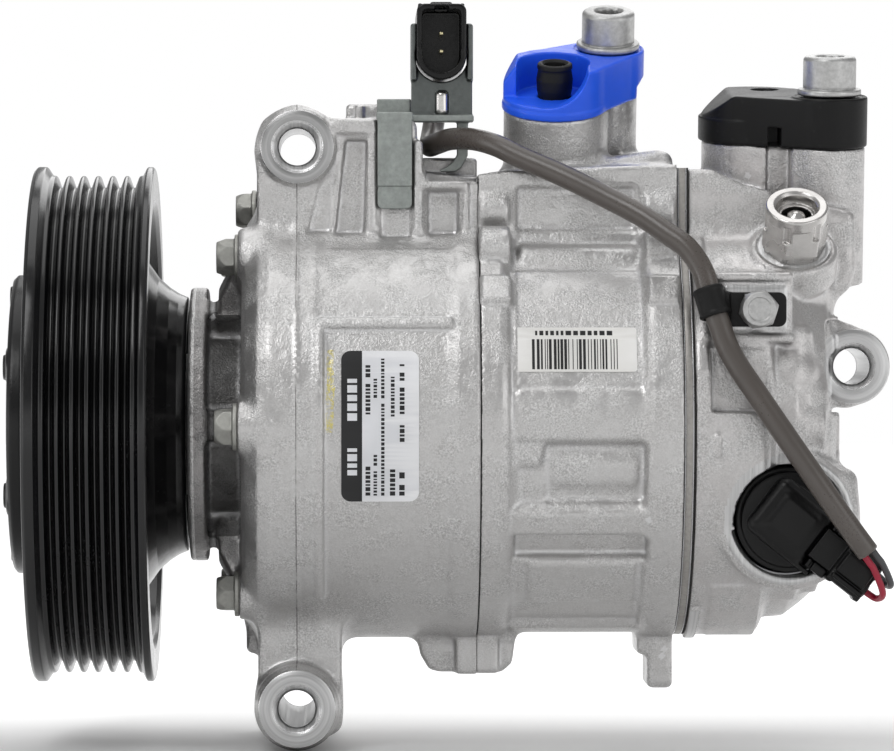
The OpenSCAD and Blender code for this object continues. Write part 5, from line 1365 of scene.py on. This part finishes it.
carry("shaft_seal", [M_DARKSTEEL, M_RUBBER], 0)
M_PIST = plated("piston_alloy", (0.6, 0.61, 0.62), 0.25, 0.95, 0.3, 700)
for k in range(1, 7):
    carry(f"piston_{k}", [M_PIST, M_GASKET], 0.25)
    carry(f"shoes_{k}", M_BRONZE, 0.2)
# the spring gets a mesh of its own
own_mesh(nodes["destroke_spring"])


# ------------------------------------------------------------------ floor, light, camera
def floor():
    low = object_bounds()[0][2]
    bm = bmesh.new()
    bmesh.ops.create_circle(bm, cap_ends=True, segments=96, radius=4.0)
    me = bpy.data.meshes.new("studio_floor")
    bm.to_mesh(me)
    bm.free()
    o = bpy.data.objects.new("studio_floor", me)
    o.location = (0.09, 0, low - 0.0002)
    bpy.context.scene.collection.objects.link(o)
    m = bpy.data.materials.new("floor_pale")
    m.use_nodes = True
    nt = m.node_tree
    p = nt.nodes["Principled BSDF"]
    co = nt.nodes.new("ShaderNodeTexCoord")
    n = nt.nodes.new("ShaderNodeTexNoise")
    n.inputs["Scale"].default_value = 3.0
    nt.links.new(co.outputs["Object"], n.inputs["Vector"])
    r = nt.nodes.new("ShaderNodeValToRGB")
    r.color_ramp.elements[0].color = (0.86, 0.86, 0.86, 1)
    r.color_ramp.elements[1].color = (0.9, 0.9, 0.9, 1)
    nt.links.new(n.outputs[0], r.inputs[0])
    nt.links.new(r.outputs[0], p.inputs["Base Color"])
    p.inputs["Roughness"].default_value = 0.9
    # away from the part, and mostly behind it, the floor glows softly, so that it runs into the pale horizon without a line
    ln = nt.nodes.new("ShaderNodeVectorMath")
    ln.operation = "LENGTH"
    nt.links.new(co.outputs["Object"], ln.inputs[0])
    xyz = nt.nodes.new("ShaderNodeSeparateXYZ")
    nt.links.new(co.outputs["Object"], xyz.inputs[0])
    parts = []
    for src, lo, hi, top in ((ln.outputs["Value"], 0.28, 1.5, 0.72), (xyz.outputs[1], -0.06, 0.16, 0.5)):
        g = nt.nodes.new("ShaderNodeMapRange")
        g.interpolation_type = "SMOOTHSTEP"
        for i, v in enumerate((lo, hi, 0.0, top), 1):
            g.inputs[i].default_value = v
        nt.links.new(src, g.inputs[0])
        parts.append(g.outputs[0])
    most = nt.nodes.new("ShaderNodeMath")
    most.operation = "MAXIMUM"
    nt.links.new(parts[0], most.inputs[0])
    nt.links.new(parts[1], most.inputs[1])
    nt.links.new(most.outputs[0], p.inputs["Emission Strength"])
    p.inputs["Emission Color"].default_value = (1, 1, 1, 1)
    p.inputs["Specular IOR Level"].default_value = 0.1
    me.materials.append(m)
    o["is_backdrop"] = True


def lamp(name, loc, aim, size, watts, size_y=None, color=(1, 1, 1)):
    d = bpy.data.lights.new(name, "AREA")
    d.energy = watts
    d.shape = "RECTANGLE"
    d.size, d.size_y = size, size_y or size
    d.color = color
    o = bpy.data.objects.new(name, d)
    o.location = loc
    o.rotation_mode = "QUATERNION"
    o.rotation_quaternion = (Vector(aim) - Vector(loc)).to_track_quat("-Z", "Y")
    bpy.context.scene.collection.objects.link(o)
    return o


def studio():
    sc = bpy.context.scene
    w = bpy.data.worlds.new("studio")
    sc.world = w
    w.use_nodes = True
    nt = w.node_tree
    # pale round the horizon, quieter above and below, so that rough metal keeps its modelling
    sep = nt.nodes.new("ShaderNodeSeparateXYZ")
    nt.links.new(nt.nodes.new("ShaderNodeTexCoord").outputs["Generated"], sep.inputs[0])
    half = nt.nodes.new("ShaderNodeMath")
    half.operation = "MULTIPLY_ADD"
    half.inputs[1].default_value = half.inputs[2].default_value = 0.5
    nt.links.new(sep.outputs[2], half.inputs[0])
    r = nt.nodes.new("ShaderNodeValToRGB")
    cr = r.color_ramp
    while len(cr.elements) < 6:
        cr.elements.new(0.5)
    for el, (p, v) in zip(cr.elements, ((0.0, 0.18), (0.43, 0.2), (0.47, 1.0), (0.54, 1.0), (0.6, 0.3), (1.0, 0.42))):
        el.position, el.color = p, (v, v, v, 1)
    nt.links.new(half.outputs[0], r.inputs[0])
    nt.links.new(r.outputs[0], nt.nodes["Background"].inputs[0])
    nt.nodes["Background"].inputs[1].default_value = 1.0
    aim = (0.09, 0, 0.0)
    lamp("key", (-0.35, -0.75, 0.85), aim, 0.55, 3.4)
    lamp("fill", (0.85, -0.75, 0.35), aim, 0.6, 1.1)
    lamp("top", (0.1, 0.1, 1.1), aim, 0.9, 3.2)
    lamp("back", (0.3, 1.0, 0.7), aim, 0.8, 3.2)
    lamp("strip", (-0.55, -0.25, 0.05), (0.0, 0, 0), 0.08, 0.5, 0.7)
    cam = bpy.data.cameras.new("camera")
    cam.sensor_width = 36
    cam.lens = 195.2
    cam.clip_start, cam.clip_end = 0.05, 20
    o = bpy.data.objects.new("camera", cam)
    o.location = (0.0608, -1.2, 0.017)
    o.rotation_mode = "QUATERNION"
    o.rotation_quaternion = (Vector((0.086, 0, 0.012)) - Vector(o.location)).to_track_quat("-Z", "Y")
    sc.collection.objects.link(o)
    sc.camera = o
    sc.view_settings.view_transform = "Standard"
    sc.view_settings.look = "None"


floor()
studio()
